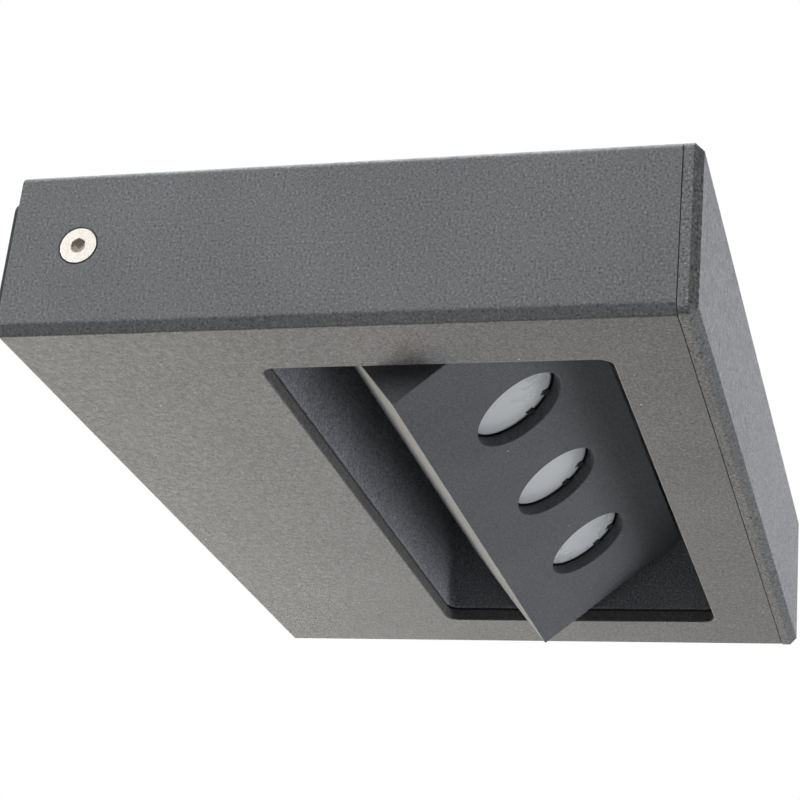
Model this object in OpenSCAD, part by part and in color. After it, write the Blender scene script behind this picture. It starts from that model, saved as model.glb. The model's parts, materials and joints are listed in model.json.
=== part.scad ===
// Wall lantern: a flat box body with a lamp head that tilts in a recess underneath.
// The origin is the centre of the face that meets the wall, at the body's mid-height.
// X runs along the wall, +Y points into the wall, +Z is up, so the front faces -Y.

/* [Body] */
// Length of the body along the wall
body_l = 200; // [196:1:240]
// Height of the body
body_h = 36; // [36:0.5:44]
// Depth of the body, from its back edge to the face of the front cover
body_d = 140; // [138:1:170]
// Thickness of the two end walls
end_wall = 3; // [2.5:0.1:4]
// Thickness of the bottom wall
floor_t = 3; // [2.5:0.1:3.2]
// Thickness of the top wall
roof_t = 2.5; // [2:0.1:2.6]
// Chamfer between each end face and the underside
end_chamfer = 2; // [0.5:0.1:3]
// Round of the two long top edges at the ends
top_edge_r = 1; // [0.5:0.1:2]
// Gap between the body's back edge and the wall
stand_off = 0.8; // [0.4:0.1:1.6]

/* [Front cover] */
// Thickness of the front cover
cover_t = 3.5; // [2.5:0.1:5]
// Chamfer round the front cover's face
cover_chamfer = 1.7; // [0.5:0.1:2]
// Thickness of the seal in the seam behind the front cover
cover_seal_t = 0.4; // [0.3:0.1:0.8]

/* [Recess] */
// Distance from each end of the body to the opening in the underside
recess_end = 20; // [19:0.5:24]
// Width of the opening in the underside
recess_w = 71.5; // [68:0.5:74]
// Distance from the body's back edge to the opening
recess_back = 49.5; // [49:0.5:52]
// Corner radius of the opening
recess_corner_r = 3; // [1:0.5:6]
// Thickness of the tray's side walls
tray_wall = 1.5; // [1.2:0.1:2]
// Thickness of the tray's roof
tray_roof_t = 1.2; // [1:0.1:1.3]
// How far the tray's walls stand inside the edge of the opening
tray_lip = 0.3; // [0.1:0.1:0.6]

/* [Lamp head] */
// Gap between each end of the head and the tray
head_end_gap = 2.7; // [2.2:0.1:4]
// Width of the face that holds the lenses
head_face_w = 45; // [43:0.5:50]
// Distance from the tilt axis to the lens face
head_face_n = 14; // [13.5:0.1:15]
// Distance from the tilt axis to the head's back
head_back_n = 13.5; // [12.5:0.1:13.6]
// Distance from the tilt axis to the lower end of the back's slope, towards the lens face
slope_low_n = 1.8; // [1.2:0.1:3]
// Distance from the tilt axis to the upper end of the back's slope, towards the front
slope_high_s = 2; // [0.5:0.1:2.2]
// Thickness of the lens face
face_t = 3; // [2.8:0.1:3.4]
// Thickness of the head's long side walls
head_wall = 2.5; // [2:0.1:3]
// Thickness of the head's end walls
head_end_wall = 3; // [2.5:0.1:4]
// Thickness of the head's back cover
head_back_t = 2; // [1.8:0.1:2.4]
// Tilt of the lens face from level
tilt = 40; // [0:1:40]

/* [Lenses] */
// Diameter of each round hole in the lens face
lens_hole_d = 21.6; // [21:0.1:22.4]
// Distance from each end of the head to the middle of the nearest lens
lens_end = 36; // [34:0.5:39]
// Diameter of a lens
lens_d = 20; // [19:0.1:20.4]
// Depth of a lens below the lens face
lens_sink = 2.6; // [2.2:0.1:2.8]
// Height of a lens from front to back
lens_h = 9; // [7.5:0.1:9.3]

/* [Hinge] */
// Diameter of the pivot bolt's shoulder
shoulder_d = 9; // [8.5:0.1:10]
// Diameter of the pivot bolt's thread
pivot_thread_d = 8; // [7:0.1:8.2]
// Width of the pivot nut across its flats
pivot_nut_af = 13; // [12:0.5:14]
// Bore of the hollow pivot bolt
pivot_bore_d = 3.8; // [3.4:0.1:4.6]

/* [Wall bracket] */
// Height of the bracket's plate
bracket_h = 26.6; // [24:0.1:27]
// Thickness of the bracket's sheet
bracket_t = 2; // [1.5:0.1:2.5]
// Thickness of the wall gasket
gasket_t = 2; // [1.6:0.1:3]
// Distance between the two wall screw slots
slot_spacing = 130; // [126:1:150]
// Width of a wall screw slot
slot_w = 5.2; // [4.2:0.1:6.2]
// Length of a wall screw slot
slot_l = 10; // [8:0.5:12]
// Bore of the cable grommet
cable_d = 8; // [6:0.5:9]

/* [Power] */
// Length of the driver case
driver_l = 100; // [90:1:104]
// Width of the driver case
driver_w = 33; // [28:0.5:33.5]
// Height of the driver case
driver_h = 22; // [18:0.5:23]
// Diameter of the lead to the head
head_lead_d = 3; // [2.4:0.1:3.2]
// Diameter of one core
core_d = 2; // [1.6:0.1:2.4]

/* [Hidden] */

$fn = 48;
// Overrun of every cut past the face that it leaves through
over = 1;
// Gap between pieces that are clamped or laid beside each other
seat_gap = 0.3;
// Radial gap of the hinge's running fit and of every screw in its thread
run_gap = 0.05;
// Radial gap of a screw in a plain hole
hole_gap = 0.2;

// Planes of the body
half_l = body_l / 2;
half_h = body_h / 2;
inner_l = half_l - end_wall;
floor_z = -half_h + floor_t;
roof_z = half_h - roof_t;
back_y = -stand_off;
front_y = back_y - body_d;
cover_y = front_y + cover_t;
rim_y = cover_y + cover_seal_t;

// Countersunk side screws, one through each end wall
side_screw_d = 4;
side_screw_l = 10;
side_head_d = 7.8;
side_head_rim = 0.3;
side_socket_af = 2.9;
side_socket_depth = 1.6;
side_screw_back = 15;
side_screw_z = 1.1;
side_screw_y = back_y - side_screw_back;
side_sink_gap = 0.2;

// Small screws
m3_d = 3;
m3_head_d = 5.5;
m3_head_h = 2;
m3_grip = 5;
thread_play = 0.5;
m3_csk_d = 5.8;
m3_csk_rim = 0.2;
m25_d = 2.5;
m25_head_d = 4.5;
m25_head_h = 1.6;
drive_share = 0.62;
drive_w = 0.9;
drive_depth = 1;
boss_d = 7;
boss_sink = 0.6;

// Front cover, its bosses and the housing's lugs
cover_corner_r = 2;
chamfer_side = cover_chamfer * sqrt(2);
cover_seal_inset = 0.8;
cover_seal_w = 1.9;
lug_l = 12;
lug_h = 9.5;
lug_t = 4;
cover_boss_l = 6.5;
lug_x = inner_l - lug_l / 2;
lug_top_z = roof_z - lug_h / 2;
lug_low_z = floor_z + lug_h / 2;
cover_boss_end_y = cover_y + cover_boss_l;
lug_front_y = cover_boss_end_y + seat_gap;
lug_back_y = lug_front_y + lug_t;
cover_screw_l = lug_t + m3_grip;

// Recess, tray and its tabs
recess_l = body_l - 2 * recess_end;
recess_y0 = back_y - recess_back;
recess_y1 = recess_y0 - recess_w;
pivot_y = (recess_y0 + recess_y1) / 2;
tray_seal_t = 0.5;
tray_in_l = recess_l - 2 * tray_lip;
tray_in_w = recess_w - 2 * tray_lip;
tray_out_l = tray_in_l + 2 * tray_wall;
tray_out_w = tray_in_w + 2 * tray_wall;
tray_base_z = floor_z + tray_seal_t;
tray_top_z = roof_z - seat_gap;
tray_roof_z = tray_top_z - tray_roof_t;
tray_boss_d = 18;
tray_boss_t = 2;
tray_tab_w = 8;
tray_tab_t = 1.5;
tray_tab_inset = 12;
tray_tab_x = tray_out_l / 2 + boss_d / 2 + seat_gap;
pad_h = 4;
pad_floor = 1.4;
tray_tab_z = floor_z + pad_h;
tray_screw_l = 5.5;
tray_tab_y = [
    pivot_y + tray_out_w / 2 - tray_tab_inset,
    pivot_y - tray_out_w / 2 + tray_tab_inset
];
tray_pads = [for (x = [-1, 1], y = tray_tab_y) [x * tray_tab_x, y]];

// Hinge, from the outside in, measured along X from the middle
head_l = tray_in_l - 2 * head_end_gap;
head_half = head_l / 2;
lens_pitch = head_half - lens_end;
head_in_half = head_half - head_end_wall;
bolt_head_af = 13;
bolt_head_t = 2.5;
bolt_head_x = tray_out_l / 2 + tray_boss_t;
washer_play = 0.1;
shoulder_short = 0.2;
shoulder_end_x = head_in_half + shoulder_short;
spring_t = 1;
spring_x = head_in_half - washer_play - spring_t;
pivot_nut_h = 4;
pivot_nut_x = spring_x - pivot_nut_h;
bolt_tail = 0.5;
bolt_end_x = pivot_nut_x - bolt_tail;
friction_washer_d = 16;
spring_washer_d = 14;

// Back of the head: flat, then a slope that clears the tray's roof
slope_run = head_face_w / 2 - slope_high_s;
slope_rise = head_back_n + slope_low_n;
slope_angle = atan2(slope_rise, slope_run);
head_seal_t = 0.4;
head_open_t = head_back_t + head_seal_t;
tongue_t = 1;
tongue_deep = 4;
tongue_y = -head_face_w / 2 + head_wall + seat_gap;
head_boss_y = head_face_w / 2 - head_wall - boss_d / 2 + boss_sink;
head_boss_end = 8;
head_boss_x = head_in_half - head_boss_end;
head_boss_places = [-head_boss_x, -lens_pitch / 2, lens_pitch / 2, head_boss_x];
head_screw_l = 8;

// LED board, heat sink and posts; the board's back face lies on the tilt axis
board_t = 1.6;
board_end_gap = 12;
board_l = 2 * (head_in_half - board_end_gap);
board_w = 24;
board_post_x = lens_pitch / 2;
board_post_y = 7.5;
board_post_d = 5;
board_screw_l = 9;
sink_t = 3;
sink_fin_h = 3.4;
sink_fin_t = 1.2;
sink_fin_pitch = 3;
sink_fin_end = 12;
sink_fin_l = board_l - 2 * sink_fin_end;
sink_front_y = -11;
sink_back_y = 12;
sink_fin_count = 6;
sink_first_fin_y = -5.6;

// Lenses, holders and LEDs
lens_rim_t = 1.2;
lens_shoulder_r = 9.2;
lens_back_r = 4.5;
lens_pocket_r = 2.6;
lens_pocket_depth = 3.2;
lens_front_z = -head_face_n + lens_sink;
lens_back_z = lens_front_z + lens_h;
lens_seat_z = lens_front_z + lens_rim_t;
holder_r = 10.3;
holder_mouth_r = 9.5;
holder_base_r = 5.2;
holder_base_t = 0.7;
holder_flange_r = 11.6;
holder_flange_t = 1;
lens_seal_t = 0.6;
lens_seal_in_r = 10.9;
clip_w = 1.6;
clip_depth = 0.7;
clip_gap = 0.1;
clip_angles = [-50, -15];
holder_flange_z = -head_face_n + face_t + lens_seal_t;
led_size = 3.5;
led_base_t = 0.7;
led_dome_r = 1.4;
lens_places = [-lens_pitch, 0, lens_pitch];

// Wall bracket and gasket
bracket_z = -0.9;
ear_gap = 0.2;
ear_l = 22;
ear_h = 18;
ear_r = 4;
ear_x = inner_l - ear_gap;
gasket_margin = 0.2;
gasket_corner_r = 3;
gasket_hole_gap = 1;
gasket_lip_l = body_l - 4 * gasket_margin;
plate_y = -gasket_t;
plate_front_y = plate_y - bracket_t;
bush_d = 8;
bush_l = 4;
grommet_hole_d = 14;
grommet_flange_d = 18;
grommet_flange_t = 1.5;
grommet_play = 0.1;
cable_slot_gap = 7;
cable_x = (slot_spacing - slot_l - grommet_flange_d) / 2 - cable_slot_gap;

// Driver, terminal block and earth point, in a row along the body; the shares of the free room
// lie to the left of the driver, of the terminal block and of the earth point
driver_tab_l = 8;
terminal_l = 28;
earth_boss_d = 9;
power_room = 2 * inner_l - driver_l - 2 * driver_tab_l - terminal_l - earth_boss_d;
power_room_shares = [0.12, 0.15, 0.33];

// Driver, seated on two pads
driver_wall = 1.5;
driver_lid_t = 1.5;
driver_back_gap = 4.5;
driver_tab_t = 2;
driver_tab_w = 14;
driver_pad_h = 3;
driver_x0 = -inner_l + power_room * power_room_shares[0] + driver_tab_l;
driver_x1 = driver_x0 + driver_l;
driver_y1 = plate_front_y - driver_back_gap;
driver_y0 = driver_y1 - driver_w;
driver_z0 = floor_z + driver_pad_h;
driver_z1 = driver_z0 + driver_h;
driver_tab_y = (driver_y0 + driver_y1) / 2;
driver_screw_l = 5;
driver_pads = [
    [driver_x0 - driver_tab_l / 2, driver_tab_y],
    [driver_x1 + driver_tab_l / 2, driver_tab_y]
];
driver_in_x = driver_x0 + driver_wall;
driver_in_y = driver_y0 + driver_wall;
driver_in_z = driver_z0 + driver_wall;
driver_mid_x = (driver_x0 + driver_x1) / 2;
driver_board_t = 1.6;
driver_board_rise = 3;
driver_board_z = driver_z0 + driver_wall + driver_board_rise;
driver_rib_w = 2;
driver_part_gap = 0.5;
driver_terminal_l = 6;
driver_terminal_h = 5;
coil_l = 18;
coil_w = 16;
coil_h = 9;
can_d = 10;
can_h = 11;

// Terminal block, beside the driver
terminal_w = 18;
terminal_h = 15;
terminal_pad_h = 2;
terminal_back = 16;
terminal_x0 = driver_x1 + driver_tab_l + power_room * power_room_shares[1];
terminal_x = terminal_x0 + terminal_l / 2;
terminal_y1 = plate_front_y - terminal_back;
terminal_y0 = terminal_y1 - terminal_w;
terminal_y = (terminal_y0 + terminal_y1) / 2;
terminal_z0 = floor_z + terminal_pad_h;
terminal_z1 = terminal_z0 + terminal_h;
terminal_pitch = 9;
terminal_hole_d = 3.4;
terminal_hole_rise = 6;
terminal_screw_d = 3.6;
terminal_screw_h = 3;
terminal_screw_inset = 4;
terminal_mount_l = 18;
terminal_mount_gap = 4.5;
terminal_wire_z = terminal_z0 + terminal_hole_rise;
terminal_poles = [terminal_x - terminal_pitch, terminal_x, terminal_x + terminal_pitch];
terminal_pad = [terminal_x + terminal_mount_gap, terminal_y];
terminal_screw_y = [terminal_y0 + terminal_screw_inset, terminal_y1 - terminal_screw_inset];

// Earth point
earth_d = 4;
earth_head_d = 7.5;
earth_head_h = 2.4;
earth_screw_l = 6;
earth_boss_h = 4;
earth_tag_d = 9;
earth_tag_t = 0.8;
earth_x = terminal_x0 + terminal_l + power_room * power_room_shares[2] + earth_boss_d / 2;
earth_z = floor_z + earth_boss_h;
earth_pad = [earth_x, terminal_y];

// Leads
lead_sides = 8;
bend_steps = 6;
lead_play = 0.1;
lead_wall_gap = 1;
lead_stub = 3;
lead_run_x = -inner_l + lead_wall_gap + head_lead_d / 2;
bolt_outer_x = -bolt_head_x - bolt_head_t;
lead_straight = 1.8;
lead_leg = bolt_outer_x - lead_straight - lead_run_x;
driver_leg = (driver_x0 - lead_straight - lead_run_x) / 2;
head_lead_y = driver_y0 + driver_w / 4;
head_lead_z = driver_board_z + driver_board_t + driver_terminal_h / 2;
head_lead_end_x = -bolt_end_x + 2 * bolt_tail;
core_start_x = head_lead_end_x + lead_play;
core_drop_x = -board_l / 2 - core_d / 2 - 2 * seat_gap;
core_land_x = -board_l / 2 + 3 * core_d / 2;
core_low_z = -board_t - 3 * core_d / 2;
mains_turn_y = terminal_y0 - 2 * core_d;
mains_in_y = [driver_tab_y - core_d, driver_tab_y + core_d];

// Straight extrusions of an outline along X, from the middle, and along -Y, from Y = 0
module along_x(length) {
    rotate([90, 0, 90])
        linear_extrude(length, center = true)
            children();
}

module towards_front(length) {
    rotate([90, 0, 0])
        linear_extrude(length)
            children();
}

module both_ends() {
    children();
    mirror([1, 0, 0])
        children();
}

module rounded_rect(length, width, r) {
    square([length - 2 * r, width], center = true);
    square([length, width - 2 * r], center = true);
    for (x = [-1, 1], y = [-1, 1])
        translate([x * (length / 2 - r), y * (width / 2 - r)])
            circle(r);
}

module ring(outer_d, inner_d, height) {
    difference() {
        cylinder(d = outer_d, h = height);
        translate([0, 0, -over])
            cylinder(d = inner_d, h = height + 2 * over);
    }
}

// Hexagonal prism of a given width across its flats
module hex_prism(af, height) {
    cylinder(d = af / cos(30), h = height, $fn = 6);
}

// Pan head screw: the head stands on Z = 0 and the shank runs down
module pan_screw(d, length, head_d, head_h) {
    difference() {
        union() {
            cylinder(d = head_d, h = head_h);
            translate([0, 0, -length])
                cylinder(d = d, h = length + over);
        }
        for (a = [0, 90])
            rotate([0, 0, a])
                translate([-head_d * drive_share / 2, -drive_w / 2, head_h - drive_depth])
                    cube([head_d * drive_share, drive_w, drive_depth + over]);
    }
}

// Countersunk screw: the top of the head lies on Z = 0
module csk_screw(d, length, head_d, rim) {
    translate([0, 0, -rim])
        cylinder(d = head_d, h = rim);
    translate([0, 0, -rim - (head_d - d) / 2])
        cylinder(d1 = d, d2 = head_d, h = (head_d - d) / 2);
    translate([0, 0, -length])
        cylinder(d = d, h = length - rim);
}

// Countersink and clearance hole for that screw, wider by a gap all round
module csk_cut(d, length, head_d, rim, gap) {
    top_d = head_d + 2 * gap;
    low_d = d + 2 * gap;
    translate([0, 0, -rim])
        cylinder(d = top_d, h = rim + over);
    translate([0, 0, -rim - (top_d - low_d) / 2])
        cylinder(d1 = low_d, d2 = top_d, h = (top_d - low_d) / 2);
    translate([0, 0, -length])
        cylinder(d = low_d, h = length);
}

// Turns a piece that points down so that it points to +X at the left end
module at_left_end() {
    translate([-half_l, side_screw_y, side_screw_z])
        rotate([0, -90, 0])
            children();
}

// Turns a piece that points down so that it points to the front
module facing_front() {
    rotate([-90, 0, 0])
        children();
}

// Places a piece of the head, drawn with its lens face level, at the head's tilt
module in_head() {
    translate([0, pivot_y, 0])
        rotate([-tilt, 0, 0])
            children();
}

// Bends a line through its points: each inner point pulls an arc between the midpoints
function middle(a, b) = (a + b) / 2;
function arc_point(a, b, c, t) = (1 - t) * (1 - t) * a + 2 * t * (1 - t) * b + t * t * c;
function bend(points) = concat(
    [points[0]],
    [for (i = [1 : len(points) - 2], k = [0 : bend_steps])
        let (start = middle(points[i - 1], points[i]), end = middle(points[i], points[i + 1]))
        arc_point(start, points[i], end, k / bend_steps)],
    [points[len(points) - 1]]
);

// Drops each point that repeats the one before it
function distinct(path) = [
    for (i = [0 : len(path) - 1])
        if (i == 0 || norm(path[i] - path[i - 1]) > run_gap / 2) path[i]
];
function unit(v) = v / norm(v);
function heading(path, i) = unit(path[min(i + 1, len(path) - 1)] - path[max(i - 1, 0)]);

// Round lead swept along a path; side is a direction that the path never takes
module lead(points, d, side) {
    path = distinct(bend(points));
    count = len(path);
    rings = [for (i = [0 : count - 1])
        let (u = unit(cross(side, heading(path, i))), v = cross(heading(path, i), u))
        for (k = [0 : lead_sides - 1])
            path[i] + d / 2 * (cos(360 * k / lead_sides) * u + sin(360 * k / lead_sides) * v)];
    walls = [for (i = [0 : count - 2], k = [0 : lead_sides - 1])
        let (n = (k + 1) % lead_sides)
        [i * lead_sides + k, (i + 1) * lead_sides + k, (i + 1) * lead_sides + n, i * lead_sides + n]];
    first = [for (k = [0 : lead_sides - 1]) k];
    last = [for (k = [lead_sides - 1 : -1 : 0]) (count - 1) * lead_sides + k];
    polyhedron(rings, concat(walls, [first], [last]), convexity = 4);
}

// Outline of the body, seen from the front
module body_outline(inset = 0) {
    x = half_l - inset;
    z = half_h - inset;
    r = top_edge_r;
    polygon([
        [-x + end_chamfer, -z], [x - end_chamfer, -z], [x, -z + end_chamfer],
        [x, z - r], [-x, z - r], [-x, -z + end_chamfer]
    ]);
    translate([0, z - r])
        square([2 * (x - r), 2 * r], center = true);
    for (side = [-1, 1])
        translate([side * (x - r), z - r])
            circle(r);
}

// Screw pad on the housing's floor, with a blind thread
module floor_pad(place, height, d) {
    translate([place[0], place[1], floor_z - over])
        cylinder(d = d, h = height + over);
}

module floor_thread(place, height, screw_d) {
    translate([place[0], place[1], -half_h + pad_floor])
        cylinder(d = screw_d + 2 * run_gap, h = height + floor_t);
}

// Lug in a front corner of the housing, grown halfway into the walls that carry it
module cover_lug(z) {
    below = z < 0 ? floor_t / 2 : 0;
    above = z < 0 ? 0 : roof_t / 2;
    translate([inner_l - lug_l, lug_front_y, z - lug_h / 2 - below])
        cube([lug_l + end_wall / 2, lug_t, lug_h + below + above]);
}

module housing() {
    color([0.43, 0.43, 0.43])
        difference() {
            union() {
                difference() {
                    translate([0, back_y, 0])
                        towards_front(back_y - rim_y)
                            body_outline();
                    translate([-inner_l, rim_y - over, floor_z])
                        cube([2 * inner_l, back_y - rim_y + 2 * over, roof_z - floor_z]);
                }
                both_ends() {
                    cover_lug(lug_top_z);
                    cover_lug(lug_low_z);
                }
                for (p = tray_pads)
                    floor_pad(p, pad_h, boss_d);
                for (p = driver_pads)
                    floor_pad(p, driver_pad_h, boss_d);
                floor_pad(terminal_pad, terminal_pad_h, boss_d);
                floor_pad(earth_pad, earth_boss_h, earth_boss_d);
            }
            translate([0, pivot_y, -half_h - over])
                linear_extrude(floor_t + 2 * over)
                    rounded_rect(recess_l, recess_w, recess_corner_r);
            for (p = tray_pads)
                floor_thread(p, pad_h, m3_d);
            for (p = driver_pads)
                floor_thread(p, driver_pad_h, m3_d);
            floor_thread(terminal_pad, terminal_pad_h, m3_d);
            floor_thread(earth_pad, earth_boss_h, earth_d);
            both_ends() {
                at_left_end()
                    csk_cut(side_screw_d, end_wall + over, side_head_d, side_head_rim, side_sink_gap);
                for (z = [lug_top_z, lug_low_z])
                    translate([lug_x, lug_back_y + over, z])
                        rotate([90, 0, 0])
                            cylinder(d = m3_d + 2 * hole_gap, h = lug_t + 2 * over);
            }
        }
}

module front_cover() {
    color([0.47, 0.47, 0.48])
        difference() {
            union() {
                translate([0, cover_y, 0])
                    towards_front(cover_t)
                        rounded_rect(body_l, body_h, cover_corner_r);
                both_ends()
                    for (z = [lug_top_z, lug_low_z])
                        translate([lug_x, cover_boss_end_y, z])
                            rotate([90, 0, 0])
                                cylinder(d = boss_d, h = cover_boss_l + cover_t / 2);
            }
            for (side = [-1, 1]) {
                translate([0, front_y, side * half_h])
                    rotate([45, 0, 0])
                        cube([body_l + 2 * over, chamfer_side, chamfer_side], center = true);
                translate([side * half_l, front_y, 0])
                    rotate([0, 0, 45])
                        cube([chamfer_side, chamfer_side, body_h + 2 * over], center = true);
            }
            both_ends()
                for (z = [lug_top_z, lug_low_z])
                    translate([lug_x, cover_boss_end_y + over, z])
                        rotate([90, 0, 0])
                            cylinder(d = m3_d + 2 * run_gap, h = m3_grip + thread_play + over);
        }
}

module cover_seal() {
    color([0.05, 0.05, 0.05])
        translate([0, rim_y, 0])
            towards_front(cover_seal_t)
                difference() {
                    body_outline(cover_seal_inset);
                    square([
                        body_l - 2 * (cover_seal_inset + cover_seal_w),
                        body_h - 2 * (cover_seal_inset + cover_seal_w)
                    ], center = true);
                }
}

module cover_screws() {
    color([0.75, 0.75, 0.76])
        both_ends()
            for (z = [lug_top_z, lug_low_z])
                translate([lug_x, lug_back_y, z])
                    facing_front()
                        pan_screw(m3_d, cover_screw_l, m3_head_d, m3_head_h);
}

module recess_tray() {
    color([0.3, 0.31, 0.33])
        difference() {
            union() {
                translate([0, pivot_y, tray_base_z])
                    linear_extrude(tray_top_z - tray_base_z)
                        rounded_rect(tray_out_l, tray_out_w, recess_corner_r + tray_wall);
                for (y = tray_tab_y)
                    translate([0, y, tray_tab_z + tray_tab_t / 2])
                        cube([2 * tray_tab_x + tray_tab_w, tray_tab_w, tray_tab_t], center = true);
                translate([-bolt_head_x, pivot_y, 0])
                    rotate([0, 90, 0])
                        cylinder(d = tray_boss_d, h = 2 * bolt_head_x);
            }
            translate([0, pivot_y, tray_base_z - over])
                linear_extrude(tray_roof_z - tray_base_z + over)
                    rounded_rect(tray_in_l, tray_in_w, recess_corner_r);
            translate([-bolt_head_x - over, pivot_y, 0])
                rotate([0, 90, 0])
                    cylinder(d = shoulder_d + 2 * run_gap, h = 2 * (bolt_head_x + over));
            for (p = tray_pads)
                translate([p[0], p[1], tray_tab_z - over])
                    cylinder(d = m3_d + 2 * hole_gap, h = tray_tab_t + 2 * over);
        }
}

module tray_seal() {
    hole_l = recess_l + 2 * seat_gap;
    hole_w = recess_w + 2 * seat_gap;
    color([0.06, 0.06, 0.06])
        translate([0, pivot_y, floor_z])
            linear_extrude(tray_seal_t)
                difference() {
                    rounded_rect(tray_out_l, tray_out_w, recess_corner_r + tray_wall);
                    rounded_rect(hole_l, hole_w, recess_corner_r + seat_gap);
                }
}

module tray_screws() {
    color([0.75, 0.75, 0.76])
        for (p = tray_pads)
            translate([p[0], p[1], tray_tab_z + tray_tab_t])
                pan_screw(m3_d, tray_screw_l, m3_head_d, m3_head_h);
}

module pivot_bolt(bore_d) {
    difference() {
        translate([-bolt_head_x, pivot_y, 0])
            rotate([0, 90, 0]) {
                translate([0, 0, -bolt_head_t])
                    hex_prism(bolt_head_af, bolt_head_t);
                cylinder(d = shoulder_d, h = bolt_head_x - shoulder_end_x);
                cylinder(d = pivot_thread_d, h = bolt_head_x - bolt_end_x);
            }
        if (bore_d > 0)
            translate([-bolt_head_x - bolt_head_t - over, pivot_y, 0])
                rotate([0, 90, 0])
                    cylinder(d = bore_d, h = bolt_head_x + bolt_head_t);
    }
}

module pivot_bolt_left() {
    color([0.7, 0.7, 0.7])
        pivot_bolt(pivot_bore_d);
}

module pivot_bolt_right() {
    color([0.7, 0.7, 0.7])
        mirror([1, 0, 0])
            pivot_bolt(0);
}

module friction_washers() {
    thickness = tray_in_l / 2 - head_half - washer_play;
    color([0.12, 0.12, 0.12])
        both_ends()
            translate([head_half + washer_play, pivot_y, 0])
                rotate([0, 90, 0])
                    ring(friction_washer_d, shoulder_d + 2 * washer_play, thickness);
}

module spring_washers() {
    color([0.6, 0.6, 0.58])
        both_ends()
            translate([spring_x, pivot_y, 0])
                rotate([0, 90, 0])
                    ring(spring_washer_d, pivot_thread_d + 2 * washer_play, spring_t);
}

module pivot_nuts() {
    color([0.7, 0.7, 0.7])
        both_ends()
            translate([pivot_nut_x, pivot_y, 0])
                rotate([0, 90, 0])
                    difference() {
                        hex_prism(pivot_nut_af, pivot_nut_h);
                        translate([0, 0, -over])
                            cylinder(d = pivot_thread_d + 2 * run_gap, h = pivot_nut_h + 2 * over);
                    }
}

// Corner points of the head's back at a depth below its outer surface
function back_edge(depth) = [head_face_w / 2, head_back_n - depth];
function back_bend(depth) = [-slope_high_s + depth * tan(slope_angle / 2), head_back_n - depth];
function slope_edge(depth) = [-head_face_w / 2, -slope_low_n - depth / cos(slope_angle)];

// Bent sheet between two depths below the back's outer surface
module back_sheet(outer_depth, inner_depth) {
    polygon([
        back_edge(outer_depth), back_bend(outer_depth), slope_edge(outer_depth),
        slope_edge(inner_depth), back_bend(inner_depth), back_edge(inner_depth)
    ]);
}

module head_body() {
    in_y = head_face_w / 2 - head_wall;
    face_in_z = -head_face_n + face_t;
    color([0.36, 0.37, 0.38])
        in_head()
            difference() {
                union() {
                    difference() {
                        along_x(head_l)
                            polygon([
                                [head_face_w / 2, -head_face_n], [-head_face_w / 2, -head_face_n],
                                slope_edge(head_open_t), back_bend(head_open_t), back_edge(head_open_t)
                            ]);
                        translate([-head_in_half, -in_y, face_in_z])
                            cube([2 * head_in_half, 2 * in_y, head_back_n - face_in_z]);
                    }
                    for (x = head_boss_places)
                        translate([x, head_boss_y, face_in_z - face_t / 2])
                            cylinder(d = boss_d, h = head_back_n - head_open_t - face_in_z + face_t / 2);
                    for (x = [-1, 1], y = [-1, 1])
                        translate([x * board_post_x, y * board_post_y, face_in_z - face_t / 2])
                            cylinder(d = board_post_d, h = -board_t - face_in_z + face_t / 2);
                }
                for (x = lens_places)
                    translate([x, 0, -head_face_n - over])
                        cylinder(d = lens_hole_d, h = face_t + 2 * over);
                translate([-head_half - over, 0, 0])
                    rotate([0, 90, 0])
                        cylinder(d = shoulder_d + 2 * run_gap, h = head_l + 2 * over);
                for (x = head_boss_places)
                    translate([x, head_boss_y, head_back_n - head_screw_l - thread_play])
                        cylinder(d = m3_d + 2 * run_gap, h = head_screw_l + thread_play);
                for (x = [-1, 1], y = [-1, 1])
                    translate([x * board_post_x, y * board_post_y, sink_t - board_screw_l - thread_play])
                        cylinder(d = m25_d + 2 * run_gap, h = board_screw_l);
            }
}

module head_back() {
    color([0.36, 0.37, 0.38])
        in_head()
            difference() {
                union() {
                    along_x(head_l)
                        back_sheet(0, head_back_t);
                    along_x(2 * (head_in_half - seat_gap))
                        polygon([
                            [tongue_y, slope_edge(head_open_t)[1] - tongue_deep],
                            [tongue_y + tongue_t, slope_edge(head_open_t)[1] - tongue_deep],
                            [tongue_y + tongue_t, -slope_low_n],
                            [tongue_y, -slope_low_n]
                        ]);
                }
                for (x = head_boss_places)
                    translate([x, head_boss_y, head_back_n])
                        csk_cut(m3_d, head_back_t + over, m3_csk_d, m3_csk_rim, run_gap);
            }
}

module head_seal() {
    color([0.05, 0.05, 0.05])
        in_head()
            difference() {
                along_x(head_l)
                    back_sheet(head_back_t, head_open_t);
                translate([-head_in_half, -head_face_w / 2 + head_wall, -head_face_n])
                    cube([2 * head_in_half, head_face_w - 2 * head_wall, 2 * head_face_n]);
            }
}

module head_screws() {
    color([0.75, 0.75, 0.76])
        in_head()
            for (x = head_boss_places)
                translate([x, head_boss_y, head_back_n])
                    csk_screw(m3_d, head_screw_l, m3_csk_d, m3_csk_rim);
}

module board_holes(height) {
    for (x = [-1, 1], y = [-1, 1])
        translate([x * board_post_x, y * board_post_y, -board_t - over])
            cylinder(d = m25_d + 2 * hole_gap, h = height);
}

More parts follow.
